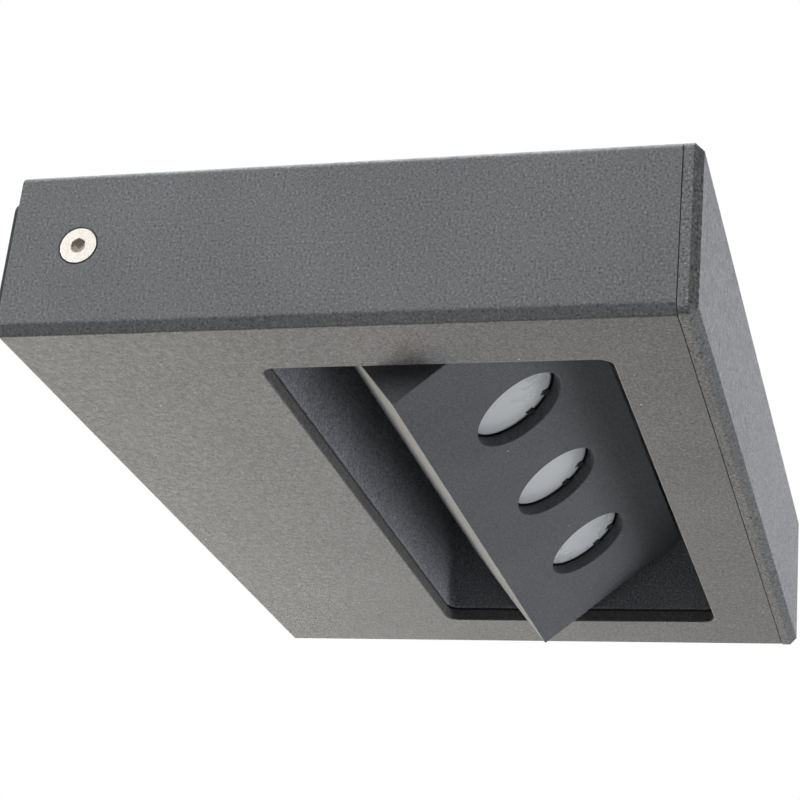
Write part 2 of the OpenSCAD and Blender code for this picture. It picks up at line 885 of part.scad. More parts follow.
module heat_sink() {
    color([0.78, 0.79, 0.8])
        in_head()
            difference() {
                union() {
                    translate([-board_l / 2, sink_front_y, 0])
                        cube([board_l, sink_back_y - sink_front_y, sink_t]);
                    for (i = [0 : sink_fin_count - 1])
                        translate([-sink_fin_l / 2, sink_first_fin_y + i * sink_fin_pitch, sink_t / 2])
                            cube([sink_fin_l, sink_fin_t, sink_t / 2 + sink_fin_h]);
                }
                board_holes(board_t + sink_t + 2 * over);
                for (x = [-1, 1], y = [-1, 1])
                    translate([x * board_post_x, y * board_post_y, sink_t])
                        cylinder(d = m25_head_d + 2 * seat_gap, h = sink_fin_h + over);
            }
}

module led_board() {
    color([0.9, 0.9, 0.88])
        in_head()
            difference() {
                translate([-board_l / 2, -board_w / 2, -board_t])
                    cube([board_l, board_w, board_t]);
                board_holes(board_t + 2 * over);
            }
}

module board_screws() {
    color([0.75, 0.75, 0.76])
        in_head()
            for (x = [-1, 1], y = [-1, 1])
                translate([x * board_post_x, y * board_post_y, sink_t])
                    pan_screw(m25_d, board_screw_l, m25_head_d, m25_head_h);
}

// Half ball that hangs from Z = 0
module led_dome() {
    intersection() {
        sphere(led_dome_r);
        translate([-led_dome_r, -led_dome_r, -led_dome_r])
            cube([2 * led_dome_r, 2 * led_dome_r, led_dome_r]);
    }
}

module leds() {
    color([0.95, 0.9, 0.55])
        in_head()
            for (x = lens_places)
                translate([x, 0, -board_t]) {
                    translate([-led_size / 2, -led_size / 2, -led_base_t])
                        cube([led_size, led_size, led_base_t]);
                    translate([0, 0, -led_base_t])
                        led_dome();
                }
}

module lens_holder(x) {
    color([0.08, 0.08, 0.09])
        in_head()
            translate([x, 0, 0])
                difference() {
                    union() {
                        difference() {
                            union() {
                                translate([0, 0, lens_seat_z])
                                    cylinder(r = holder_r, h = -board_t - lens_seat_z);
                                translate([0, 0, holder_flange_z])
                                    cylinder(r = holder_flange_r, h = holder_flange_t);
                            }
                            translate([0, 0, lens_front_z])
                                cylinder(r = lens_d / 2 + clip_gap, h = lens_rim_t);
                        }
                        for (a = clip_angles)
                            rotate([0, 0, a])
                                translate([lens_d / 2 - clip_depth + clip_gap, -clip_w / 2, lens_front_z])
                                    cube([
                                        holder_r - lens_d / 2 + clip_depth - clip_gap, clip_w,
                                        lens_rim_t + holder_base_t
                                    ]);
                    }
                    translate([0, 0, lens_seat_z])
                        cylinder(
                            r1 = holder_mouth_r, r2 = holder_base_r,
                            h = -board_t - holder_base_t - lens_seat_z
                        );
                    translate([0, 0, -board_t - holder_base_t])
                        cylinder(r = holder_base_r, h = holder_base_t + over);
                }
}

module lens_holder_1() { lens_holder(lens_places[0]); }
module lens_holder_2() { lens_holder(lens_places[1]); }
module lens_holder_3() { lens_holder(lens_places[2]); }

module lens_seals() {
    color([0.04, 0.04, 0.04])
        in_head()
            for (x = lens_places)
                translate([x, 0, holder_flange_z - lens_seal_t])
                    ring(2 * holder_flange_r, 2 * lens_seal_in_r, lens_seal_t);
}

module lens(x) {
    notch_w = clip_w + 2 * clip_gap;
    color([0.85, 0.87, 0.88])
        in_head()
            translate([x, 0, 0])
                difference() {
                    union() {
                        translate([0, 0, lens_front_z])
                            cylinder(d = lens_d, h = lens_rim_t);
                        translate([0, 0, lens_seat_z])
                            cylinder(r1 = lens_shoulder_r, r2 = lens_back_r, h = lens_back_z - lens_seat_z);
                    }
                    translate([0, 0, lens_back_z - lens_pocket_depth])
                        cylinder(r = lens_pocket_r, h = lens_pocket_depth + over);
                    for (a = clip_angles)
                        rotate([0, 0, a])
                            translate([lens_d / 2 - clip_depth, -notch_w / 2, lens_front_z - over])
                                cube([clip_depth + over, notch_w, lens_rim_t + over]);
                }
}

module lens_1() { lens(lens_places[0]); }
module lens_2() { lens(lens_places[1]); }
module lens_3() { lens(lens_places[2]); }

module board_lead() {
    color([0.75, 0.1, 0.08])
        in_head()
            lead([
                [core_start_x, 0, 0], [core_drop_x, 0, 0], [core_drop_x, 0, core_low_z],
                [core_land_x, 0, core_low_z], [core_land_x, 0, -board_t]
            ], core_d, [0, 1, 0]);
}

module head_lead() {
    color([0.15, 0.15, 0.15])
        lead([
            [driver_in_x + lead_stub, head_lead_y, head_lead_z],
            [lead_run_x + 2 * driver_leg, head_lead_y, head_lead_z],
            [lead_run_x, head_lead_y, head_lead_z],
            [lead_run_x, head_lead_y - 2 * driver_leg, head_lead_z],
            [lead_run_x, pivot_y + 2 * lead_leg, 0],
            [lead_run_x, pivot_y, 0],
            [lead_run_x + 2 * lead_leg, pivot_y, 0],
            [head_lead_end_x, pivot_y, 0]
        ], head_lead_d, [0, 0, 1]);
}

// Slot along X with round ends, cut towards the front
module slot_cut(width, length, depth) {
    towards_front(depth) {
        square([length - width, width], center = true);
        for (side = [-1, 1])
            translate([side * (length - width) / 2, 0])
                circle(d = width);
    }
}

module wall_gasket() {
    plate_l = 2 * (ear_x - gasket_margin);
    play = 2 * gasket_hole_gap;
    color([0.07, 0.1, 0.09])
        difference() {
            translate([0, 0, bracket_z]) {
                towards_front(gasket_t)
                    rounded_rect(plate_l, bracket_h + 2 * gasket_margin, gasket_corner_r);
                towards_front(stand_off)
                    rounded_rect(gasket_lip_l, bracket_h + 2 * gasket_margin, gasket_corner_r);
            }
            for (side = [-1, 1])
                translate([side * slot_spacing / 2, over, bracket_z])
                    slot_cut(slot_w + play, slot_l + play, gasket_t + 2 * over);
            translate([cable_x, over, bracket_z])
                rotate([90, 0, 0])
                    cylinder(d = grommet_flange_d + play, h = gasket_t + 2 * over);
        }
}

module bracket_ear() {
    translate([-ear_x, plate_y, side_screw_z])
        rotate([90, 0, 90])
            linear_extrude(bracket_t)
                translate([-ear_l / 2, 0])
                    rounded_rect(ear_l, ear_h, ear_r);
    translate([-ear_x, plate_front_y, side_screw_z - ear_h / 2])
        cube([bracket_t, bracket_t, ear_h]);
}

module wall_bracket() {
    color([0.72, 0.73, 0.74])
        difference() {
            union() {
                translate([0, plate_y, bracket_z])
                    towards_front(bracket_t)
                        rounded_rect(2 * ear_x, bracket_h, gasket_corner_r);
                both_ends()
                    bracket_ear();
            }
            for (side = [-1, 1])
                translate([side * slot_spacing / 2, over, bracket_z])
                    slot_cut(slot_w, slot_l, gasket_t + bracket_t + 2 * over);
            translate([cable_x, over, bracket_z])
                rotate([90, 0, 0])
                    cylinder(d = grommet_hole_d, h = gasket_t + bracket_t + 2 * over);
            both_ends()
                translate([-ear_x - over, side_screw_y, side_screw_z])
                    rotate([0, 90, 0])
                        cylinder(d = side_screw_d + 2 * hole_gap, h = bracket_t + 2 * over);
        }
}

module bracket_nuts() {
    color([0.7, 0.7, 0.68])
        both_ends()
            translate([-ear_x + bracket_t, side_screw_y, side_screw_z])
                rotate([0, 90, 0])
                    ring(bush_d, side_screw_d + 2 * run_gap, bush_l);
}

module side_screws() {
    color([0.93, 0.92, 0.89])
        both_ends()
            at_left_end()
                difference() {
                    csk_screw(side_screw_d, side_screw_l, side_head_d, side_head_rim);
                    translate([0, 0, -side_socket_depth])
                        hex_prism(side_socket_af, side_socket_depth + over);
                }
}

module cable_grommet() {
    neck_d = grommet_hole_d - 2 * grommet_play;
    color([0.06, 0.06, 0.06])
        translate([cable_x, 0, bracket_z])
            rotate([90, 0, 0])
                difference() {
                    union() {
                        translate([0, 0, gasket_t - grommet_flange_t])
                            cylinder(d = grommet_flange_d, h = grommet_flange_t);
                        translate([0, 0, gasket_t - grommet_flange_t])
                            cylinder(d = neck_d, h = 2 * grommet_flange_t + bracket_t);
                        translate([0, 0, gasket_t + bracket_t])
                            cylinder(d = grommet_flange_d, h = grommet_flange_t);
                    }
                    translate([0, 0, -over])
                        cylinder(d = cable_d, h = 2 * grommet_flange_t + bracket_t + gasket_t + 2 * over);
                }
}

module driver_case() {
    color([0.16, 0.17, 0.18])
        difference() {
            union() {
                translate([driver_x0, driver_y0, driver_z0])
                    cube([driver_l, driver_w, driver_h - driver_lid_t]);
                translate([driver_x0 - driver_tab_l, driver_tab_y - driver_tab_w / 2, driver_z0])
                    cube([driver_l + 2 * driver_tab_l, driver_tab_w, driver_tab_t]);
            }
            translate([driver_in_x, driver_in_y, driver_in_z + driver_board_rise])
                cube([driver_l - 2 * driver_wall, driver_w - 2 * driver_wall, driver_h]);
            translate([driver_in_x, driver_in_y + driver_rib_w, driver_in_z])
                cube([driver_l - 2 * driver_wall, driver_w - 2 * (driver_wall + driver_rib_w), driver_h]);
            for (p = driver_pads)
                translate([p[0], p[1], driver_z0 - over])
                    cylinder(d = m3_d + 2 * hole_gap, h = driver_tab_t + 2 * over);
            translate([driver_x0 - over, head_lead_y, head_lead_z])
                rotate([0, 90, 0])
                    cylinder(d = head_lead_d + 2 * hole_gap, h = driver_wall + 2 * over);
            for (y = mains_in_y)
                translate([driver_x1 - driver_wall - over, y, head_lead_z])
                    rotate([0, 90, 0])
                        cylinder(d = core_d + 2 * hole_gap, h = driver_wall + 2 * over);
        }
}

module driver_board() {
    board_x0 = driver_in_x + driver_part_gap;
    board_x1 = driver_x1 - driver_wall - driver_part_gap;
    board_top_z = driver_board_z + driver_board_t;
    color([0.1, 0.35, 0.18]) {
        translate([board_x0, driver_in_y + driver_part_gap, driver_board_z])
            cube([board_x1 - board_x0, driver_w - 2 * (driver_wall + driver_part_gap), driver_board_t]);
        translate([driver_in_x + lead_stub, head_lead_y - driver_terminal_l / 2, board_top_z])
            cube([driver_terminal_l, driver_terminal_l, driver_terminal_h]);
        translate([
            driver_x1 - driver_wall - lead_stub - driver_terminal_l,
            driver_tab_y - driver_terminal_l, board_top_z
        ])
            cube([driver_terminal_l, 2 * driver_terminal_l, driver_terminal_h]);
        translate([driver_mid_x - coil_l / 2, driver_tab_y - coil_w / 2, board_top_z])
            cube([coil_l, coil_w, coil_h]);
        for (side = [-1, 1])
            translate([driver_mid_x + side * (coil_l / 2 + can_d), driver_tab_y, board_top_z])
                cylinder(d = can_d, h = can_h);
    }
}

module driver_lid() {
    color([0.2, 0.21, 0.22])
        translate([driver_x0, driver_y0, driver_z1 - driver_lid_t])
            cube([driver_l, driver_w, driver_lid_t]);
}

module driver_screws() {
    color([0.75, 0.75, 0.76])
        for (p = driver_pads)
            translate([p[0], p[1], driver_z0 + driver_tab_t])
                pan_screw(m3_d, driver_screw_l, m3_head_d, m3_head_h);
}

module terminal_block() {
    color([0.88, 0.87, 0.82])
        difference() {
            translate([terminal_x0, terminal_y0, terminal_z0])
                cube([terminal_l, terminal_w, terminal_h]);
            for (x = terminal_poles) {
                translate([x, terminal_y1 + over, terminal_wire_z])
                    rotate([90, 0, 0])
                        cylinder(d = terminal_hole_d, h = terminal_w + 2 * over);
                for (y = terminal_screw_y)
                    translate([x, y, terminal_wire_z])
                        cylinder(d = terminal_screw_d + 2 * hole_gap, h = terminal_h);
            }
            translate([terminal_pad[0], terminal_pad[1], terminal_z0 - over])
                cylinder(d = m3_d + 2 * hole_gap, h = terminal_h + 2 * over);
        }
}

module terminal_screws() {
    color([0.8, 0.76, 0.5])
        for (x = terminal_poles, y = terminal_screw_y)
            translate([x, y, terminal_wire_z + core_d / 2 + seat_gap])
                difference() {
                    cylinder(d = terminal_screw_d, h = terminal_screw_h);
                    translate([-terminal_screw_d, -drive_w / 2, terminal_screw_h - drive_depth])
                        cube([2 * terminal_screw_d, drive_w, drive_depth + over]);
                }
}

module terminal_mount_screw() {
    color([0.75, 0.75, 0.76])
        translate([terminal_pad[0], terminal_pad[1], terminal_z1])
            pan_screw(m3_d, terminal_mount_l, m3_head_d, m3_head_h);
}

// Core from one pole of the terminal block round to the driver's end
module mains_lead(pole, driver_y, turn_x, turn_y) {
    lead([
        [terminal_poles[pole], terminal_screw_y[0], terminal_wire_z],
        [terminal_poles[pole], turn_y, terminal_wire_z],
        [turn_x, turn_y, head_lead_z],
        [turn_x, driver_y, head_lead_z],
        [driver_x1 - driver_wall - lead_stub, driver_y, head_lead_z]
    ], core_d, [0, 0, 1]);
}

module live_lead() {
    color([0.4, 0.2, 0.08])
        mains_lead(0, mains_in_y[1], driver_x1 + driver_tab_l, mains_turn_y);
}

module neutral_lead() {
    color([0.1, 0.25, 0.7])
        mains_lead(1, mains_in_y[0], driver_x1 + driver_tab_l / 2, mains_turn_y - 2 * core_d);
}

module earth_lead() {
    color([0.45, 0.6, 0.1])
        lead([
            [terminal_poles[2], terminal_screw_y[0], terminal_wire_z],
            [terminal_poles[2], mains_turn_y, terminal_wire_z],
            [earth_x, mains_turn_y, earth_z + core_d / 2],
            [earth_x, terminal_y - earth_tag_d / 2, earth_z + core_d / 2]
        ], core_d, [0, 0, 1]);
}

module earth_tag() {
    color([0.8, 0.7, 0.35])
        translate([earth_x, terminal_y, earth_z])
            ring(earth_tag_d, earth_d + 2 * hole_gap, earth_tag_t);
}

module earth_screw() {
    color([0.8, 0.7, 0.35])
        translate([earth_x, terminal_y, earth_z + earth_tag_t])
            pan_screw(earth_d, earth_screw_l, earth_head_d, earth_head_h);
}

wall_gasket();
wall_bracket();
bracket_nuts();
cable_grommet();
side_screws();
housing();
front_cover();
cover_seal();
cover_screws();
recess_tray();
tray_seal();
tray_screws();
driver_case();
driver_board();
driver_lid();
driver_screws();
terminal_block();
terminal_screws();
terminal_mount_screw();
live_lead();
neutral_lead();
earth_lead();
earth_tag();
earth_screw();
head_lead();
pivot_bolt_left();
pivot_bolt_right();
friction_washers();
spring_washers();
pivot_nuts();
head_body();
head_back();
head_seal();
head_screws();
heat_sink();
led_board();
board_screws();
leds();
lens_holder_1();
lens_holder_2();
lens_holder_3();
lens_seals();
lens_1();
lens_2();
lens_3();
board_lead();
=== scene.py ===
"""Wall lantern with a tilting lamp head: finishes for every piece, and a plain studio round it."""

import json
import math

import bmesh
import bpy
from bpy.props import FloatProperty, FloatVectorProperty, PointerProperty
from mathutils import Matrix, Vector


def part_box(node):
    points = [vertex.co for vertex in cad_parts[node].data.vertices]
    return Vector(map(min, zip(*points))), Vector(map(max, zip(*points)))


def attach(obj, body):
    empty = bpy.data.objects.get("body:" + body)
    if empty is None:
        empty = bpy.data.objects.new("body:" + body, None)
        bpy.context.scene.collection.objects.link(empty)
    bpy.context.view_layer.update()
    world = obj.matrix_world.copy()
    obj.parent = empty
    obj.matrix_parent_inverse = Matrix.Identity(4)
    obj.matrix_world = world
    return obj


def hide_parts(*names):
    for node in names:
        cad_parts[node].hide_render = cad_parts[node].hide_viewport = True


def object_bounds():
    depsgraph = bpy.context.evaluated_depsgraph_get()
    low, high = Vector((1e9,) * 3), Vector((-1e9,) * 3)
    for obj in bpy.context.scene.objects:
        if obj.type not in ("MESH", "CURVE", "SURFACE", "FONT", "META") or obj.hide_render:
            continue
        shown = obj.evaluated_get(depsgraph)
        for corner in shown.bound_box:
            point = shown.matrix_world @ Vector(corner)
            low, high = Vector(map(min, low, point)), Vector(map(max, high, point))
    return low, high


bl_info = {
    "name": "Wall Lantern",
    "version": (1, 0, 0),
    "blender": (4, 5, 0),
    "location": "View3D > Sidebar > Lantern",
    "description": "Finishes the pieces of a wall lantern with a tilting lamp head",
    "category": "Object",
}

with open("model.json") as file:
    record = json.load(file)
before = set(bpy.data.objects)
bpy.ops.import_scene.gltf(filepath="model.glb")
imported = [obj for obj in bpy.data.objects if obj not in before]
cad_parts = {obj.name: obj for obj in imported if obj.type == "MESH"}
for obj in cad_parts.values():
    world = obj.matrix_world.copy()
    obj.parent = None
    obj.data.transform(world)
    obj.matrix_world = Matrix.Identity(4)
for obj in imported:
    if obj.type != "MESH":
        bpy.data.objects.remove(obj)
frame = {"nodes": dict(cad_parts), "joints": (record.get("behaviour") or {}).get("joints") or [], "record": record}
CAD_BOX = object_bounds()
MM = 0.001

# Places read from the frame. HEAD_PLACE turns the level head, as at the joint's upper limit, into
# its place at rest
JOINT = frame["joints"][0]
PIVOT = Vector(JOINT["pos_m"])
TILT = math.radians(JOINT["range_deg"][1])
HEAD_PLACE = Matrix.Translation(PIVOT) @ Matrix.Rotation(-TILT, 4, "X")
COVER_LOW, COVER_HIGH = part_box("front_cover")
SEAL_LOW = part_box("cover_seal")[0]
SCREW_LOW, SCREW_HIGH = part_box("side_screws")
# Corner radius of the side screws' hexagon socket
SOCKET_R = 1.67 * MM
# Rounding that the CAD model gives the housing's two upper edges along Y
TOP_EDGE_R = 1.0 * MM
# Edges sharper than the first are rounded, and those sharper than the second shade as creases
SOFTEN_ANGLE = math.radians(40)
CREASE_ANGLE = math.radians(50)
# CAD points nearer than this are one point, and CAD faces that bend less than this are one face
SAME_POINT = 0.002 * MM
SAME_FACE = math.radians(0.5)
# Tolerance for places read from CAD points
NEAR = 0.01 * MM
# Sides of the bars that cut and join, and of the lenses
BAR_SIDES = 40
LENS_SIDES = 96


def srgb(red, green, blue):
    """Linear colour of an 8-bit display colour."""
    levels = [c / 255 for c in (red, green, blue)]
    return [c / 12.92 if c <= 0.04045 else ((c + 0.055) / 1.055) ** 2.4 for c in levels]


class LanternSizes(bpy.types.PropertyGroup):
    """Sizes of the finish that the CAD model leaves open."""

    body_edge: FloatProperty(
        name="Body edge",
        description="Radius of the softened edges of the cast body",
        default=0.35 * MM,
        min=0.05 * MM,
        max=0.6 * MM,
        unit="LENGTH",
    )
    head_edge: FloatProperty(
        name="Head edge",
        description="Radius of the softened edges of the lamp head",
        default=0.3 * MM,
        min=0.05 * MM,
        max=0.5 * MM,
        unit="LENGTH",
    )
    sheet_edge: FloatProperty(
        name="Sheet edge",
        description="Radius of the deburred edges of sheet and small parts",
        default=0.12 * MM,
        min=0.02 * MM,
        max=0.3 * MM,
        unit="LENGTH",
    )
    cover_corner: FloatProperty(
        name="Cover corner",
        description="Corner radius of the front cover and of the body's upper edges",
        default=2 * MM,
        min=1 * MM,
        max=4 * MM,
        unit="LENGTH",
    )
    cover_chamfer: FloatProperty(
        name="Cover chamfer",
        description="Width of the chamfer round the front cover's face",
        default=1.7 * MM,
        min=0.4 * MM,
        max=1.9 * MM,
        unit="LENGTH",
    )
    coat_grain: FloatProperty(
        name="Coat grain",
        description="Size of one grain of the powder coat",
        default=0.45 * MM,
        min=0.1 * MM,
        max=1 * MM,
        unit="LENGTH",
    )
    floor_drop: FloatProperty(
        name="Floor drop",
        description="Height of the lantern above the studio floor",
        default=1.2,
        min=0.3,
        max=2,
        unit="LENGTH",
    )


class LanternColours(bpy.types.PropertyGroup):
    """Colours of the finishes that show."""

    body: FloatVectorProperty(
        name="Body",
        description="Powder coat of the body and its front cover",
        default=srgb(112, 112, 112),
        size=3,
        min=0,
        max=1,
        subtype="COLOR",
    )
    # The recess coat is lighter than the body's coat: painted light, standing in for light that falls into the
    # shaded recess
    recess: FloatVectorProperty(
        name="Recess",
        description="Powder coat of the tray in which the head tilts",
        default=srgb(150, 152, 158),
        size=3,
        min=0,
        max=1,
        subtype="COLOR",
    )
    head: FloatVectorProperty(
        name="Head",
        description="Powder coat of the lamp head",
        default=srgb(104, 106, 109),
        size=3,
        min=0,
        max=1,
        subtype="COLOR",
    )
    # The lenses' pale colour is partly their milky plastic and partly painted reflection of the white surroundings
    lens: FloatVectorProperty(
        name="Lens",
        description="Tint of the lenses",
        default=srgb(222, 225, 228),
        size=3,
        min=0,
        max=1,
        subtype="COLOR",
    )
    screw: FloatVectorProperty(
        name="Screw",
        description="Tint of the bright side screws",
        default=srgb(214, 208, 199),
        size=3,
        min=0,
        max=1,
        subtype="COLOR",
    )
    floor: FloatVectorProperty(
        name="Floor",
        description="Colour of the studio floor",
        default=srgb(226, 226, 224),
        size=3,
        min=0,
        max=1,
        subtype="COLOR",
    )


def add_node(tree, kind, inputs=None, **settings):
    """Adds a shader node; inputs maps a socket's name or number to a value or to another socket."""
    made = tree.nodes.new(kind)
    for name, value in settings.items():
        setattr(made, name, value)
    for name, value in (inputs or {}).items():
        if isinstance(value, bpy.types.NodeSocket):
            tree.links.new(value, made.inputs[name])
        else:
            made.inputs[name].default_value = value
    return made


def rgba(colour):
    """A colour with full opacity."""
    return (*colour, 1.0)


def maths(tree, operation, *values):
    """Result of a mathematical operation on values or sockets."""
    inputs = dict(enumerate(values))
    return add_node(tree, "ShaderNodeMath", inputs, operation=operation).outputs[0]


def vector_maths(tree, operation, *values):
    """Outputs of a mathematical operation on vectors."""
    inputs = dict(enumerate(values))
    return add_node(tree, "ShaderNodeVectorMath", inputs, operation=operation).outputs


def blend_colours(tree, factor, first, second, mode="MIX"):
    """Mixes two colours and returns the result's socket."""
    inputs = {0: factor, 6: first, 7: second}
    mix = add_node(tree, "ShaderNodeMix", inputs, data_type="RGBA", blend_type=mode)
    return mix.outputs[2]


def remap(tree, value, low, high, out_low=0.0, out_high=1.0):
    """Maps a value from one range to another, smoothly and clamped."""
    inputs = {0: value, 1: low, 2: high, 3: out_low, 4: out_high}
    return add_node(tree, "ShaderNodeMapRange", inputs, interpolation_type="SMOOTHSTEP").outputs[0]


# What every texture group gives
TEXTURE_OUTPUTS = (
    ("Colour", "NodeSocketColor"),
    ("Roughness", "NodeSocketFloat"),
    ("Height", "NodeSocketFloat"),
)


def start_group(name, inputs):
    """New texture group with those inputs and their defaults: (tree, its inputs)."""
    tree = bpy.data.node_groups.new(name, "ShaderNodeTree")
    for socket, value in inputs.items():
        kind = "NodeSocketColor" if isinstance(value, tuple) else "NodeSocketFloat"
        made = tree.interface.new_socket(name=socket, in_out="INPUT", socket_type=kind)
        made.default_value = value
    for socket, kind in TEXTURE_OUTPUTS:
        tree.interface.new_socket(name=socket, in_out="OUTPUT", socket_type=kind)
    return tree, tree.nodes.new("NodeGroupInput").outputs


def end_group(tree, colour, rough, height):
    """Links a texture group's results to its outputs and returns the group."""
    out = tree.nodes.new("NodeGroupOutput")
    for (socket, _), result in zip(TEXTURE_OUTPUTS, (colour, rough, height)):
        tree.links.new(result, out.inputs[socket])
    return tree


def scaled_place(tree, size):
    """The object's own coordinates counted in grains of that size."""
    place = add_node(tree, "ShaderNodeTexCoord").outputs["Object"]
    inputs = {0: place, 3: maths(tree, "DIVIDE", 1.0, size)}
    return add_node(tree, "ShaderNodeVectorMath", inputs, operation="SCALE").outputs[0]


def noise(tree, place, scale, detail, roughness=0.5):
    """Noise from zero to one at a place, mostly between 0.3 and 0.7."""
    inputs = {"Vector": place, "Scale": scale, "Detail": detail, "Roughness": roughness}
    return add_node(tree, "ShaderNodeTexNoise", inputs).outputs[0]


def coat_group():
    """Powder coat: dark and light grains, soft clouds, and a few bright flakes."""
    tree, given = start_group(
        "Powder coat",
        {
            "Colour": (0.2, 0.2, 0.2, 1),
            "Dark grain": (0.1, 0.1, 0.1, 1),
            "Light grain": (0.3, 0.3, 0.3, 1),
            "Grain size": 0.4 * MM,
            "Grain strength": 0.5,
            "Roughness": 0.5,
        },
    )
    place = scaled_place(tree, given["Grain size"])
    # Lumps are about three grains wide and clouds about fifty
    grain = noise(tree, place, 1.0, 2.0, 0.6)
    lumps = noise(tree, place, 0.3, 2.0)
    cloud = noise(tree, place, 0.02, 2.0)
    dark = maths(tree, "MULTIPLY", remap(tree, grain, 0.47, 0.3), given["Grain strength"])
    light = maths(tree, "MULTIPLY", remap(tree, grain, 0.53, 0.7), given["Grain strength"])
    colour = blend_colours(tree, dark, given["Colour"], given["Dark grain"])
    colour = blend_colours(tree, light, colour, given["Light grain"])
    # Clouds change the brightness by six per cent either way
    shade = remap(tree, cloud, 0.2, 0.8, 0.94, 1.06)
    clouded = add_node(tree, "ShaderNodeCombineColor", {0: shade, 1: shade, 2: shade})
    colour = blend_colours(tree, 1.0, colour, clouded.outputs[0], "MULTIPLY")
    # One cell in ten holds a bright flake at its middle
    cell_inputs = {"Vector": place, "Scale": 0.11, "Randomness": 1.0}
    cells = add_node(tree, "ShaderNodeTexVoronoi", cell_inputs).outputs
    chance = add_node(tree, "ShaderNodeSeparateColor", {0: cells["Color"]}).outputs[0]
    rare = maths(tree, "GREATER_THAN", chance, 0.9)
    flake = maths(tree, "MULTIPLY", remap(tree, cells["Distance"], 0.06, 0.03), rare)
    colour = blend_colours(tree, flake, colour, (0.75, 0.76, 0.74, 1))
    rough = maths(tree, "ADD", given["Roughness"], remap(tree, lumps, 0.3, 0.7, -0.05, 0.05))
    height = maths(tree, "MULTIPLY_ADD", lumps, 0.8, grain)
    return end_group(tree, colour, rough, height)


def metal_group():
    """Bare metal: fine rolling lines along X, and cloudy stains."""
    tree, given = start_group(
        "Bare metal",
        {
            "Colour": (0.6, 0.6, 0.6, 1),
            "Stain": (0.4, 0.4, 0.4, 1),
            "Line size": 0.3 * MM,
            "Stain strength": 0.3,
            "Roughness": 0.35,
        },
    )
    place = scaled_place(tree, given["Line size"])
    stretched = vector_maths(tree, "MULTIPLY", place, (0.05, 1.0, 1.0))[0]
    lines = noise(tree, stretched, 1.0, 3.0, 0.6)
    stains = noise(tree, place, 0.09, 4.0, 0.6)
    amount = maths(tree, "MULTIPLY", remap(tree, stains, 0.35, 0.75), given["Stain strength"])
    colour = blend_colours(tree, amount, given["Colour"], given["Stain"])
    rough = maths(tree, "ADD", given["Roughness"], remap(tree, lines, 0.3, 0.7, -0.06, 0.1))
    return end_group(tree, colour, rough, lines)


def moulded_group():
    """Moulded plastic, rubber or foam: fine pores and a little dust."""
    tree, given = start_group(
        "Moulded",
        {
            "Colour": (0.1, 0.1, 0.1, 1),
            "Dust": (0.3, 0.3, 0.3, 1),
            "Pore size": 0.4 * MM,
            "Dust strength": 0.2,
            "Roughness": 0.5,
        },
    )
    place = scaled_place(tree, given["Pore size"])
    cells = add_node(tree, "ShaderNodeTexVoronoi", {"Vector": place, "Scale": 1.0})
    dust = noise(tree, place, 0.15, 5.0, 0.65)
    amount = maths(tree, "MULTIPLY", remap(tree, dust, 0.45, 0.8), given["Dust strength"])
    colour = blend_colours(tree, amount, given["Colour"], given["Dust"])
    rough = maths(tree, "ADD", given["Roughness"], remap(tree, dust, 0.3, 0.7, -0.06, 0.08))
    return end_group(tree, colour, rough, cells.outputs["Distance"])


def group_of(maker, name):
    """The named node group, made on its first use."""
    return bpy.data.node_groups.get(name) or maker()


def new_material(name):
    """Empty node material: (material, tree, its output node)."""
    made = bpy.data.materials.new(name)
    made.use_nodes = True
    made.node_tree.nodes.clear()
    return made, made.node_tree, made.node_tree.nodes.new("ShaderNodeOutputMaterial")


def add_texture(tree, maker, name, inputs):
    """Outputs of a texture group's node with those inputs."""
    return add_node(tree, "ShaderNodeGroup", inputs, node_tree=group_of(maker, name)).outputs


def add_surface(tree, out, inputs):
    """Links a Principled shader with those inputs to the material's output."""
    shader = add_node(tree, "ShaderNodeBsdfPrincipled", inputs)
    tree.links.new(shader.outputs[0], out.inputs["Surface"])


def textured(name, texture_maker, texture_name, inputs, relief, shader):
    """Material of a texture group, its relief in metres, and more inputs of the shader."""
    made, tree, out = new_material(name)
    texture = add_texture(tree, texture_maker, texture_name, inputs)
    bump_inputs = {"Height": texture["Height"], "Distance": relief, "Strength": 1.0}
    bump = add_node(tree, "ShaderNodeBump", bump_inputs)
    surface = {
        "Base Color": texture["Colour"],
        "Roughness": texture["Roughness"],
        "Normal": bump.outputs["Normal"],
    }
    add_surface(tree, out, surface | shader)
    return made


def tinted(colour, share):
    """A colour made lighter or darker by a share."""
    return rgba([min(1.0, c * share) for c in colour])


def coat(name, colour, grain, contrast, roughness):
    """Powder coat in a given colour; contrast is how far its grains leave that colour."""
    inputs = {
        "Colour": rgba(colour),
        "Dark grain": tinted(colour, 1 - contrast),
        "Light grain": tinted(colour, 1 + 1.2 * contrast),
        "Grain size": grain,
        "Grain strength": 1.0,
        "Roughness": roughness,
    }
    dull = {"Specular IOR Level": 0.12}
    return textured(name, coat_group, "Powder coat", inputs, grain * 0.12, dull)


def metal(name, colour, roughness=0.35, stain=0.3, line=0.3 * MM):
    """Bare metal in a given tint, with its lines a fiftieth as deep as wide."""
    inputs = {
        "Colour": rgba(colour),
        "Stain": tinted(colour, 0.62),
        "Line size": line,
        "Stain strength": stain,
        "Roughness": roughness,
    }
    return textured(name, metal_group, "Bare metal", inputs, line * 0.02, {"Metallic": 1.0})


def moulded(name, colour, roughness=0.5, dust=0.2, pore=0.4 * MM, relief_share=0.04):
    """Moulded plastic, rubber or foam in a given colour."""
    inputs = {
        "Colour": rgba(colour),
        "Dust": tinted([c + 0.05 for c in colour], 1.8),
        "Pore size": pore,
        "Dust strength": dust,
        "Roughness": roughness,
    }
    return textured(name, moulded_group, "Moulded", inputs, pore * relief_share, {})


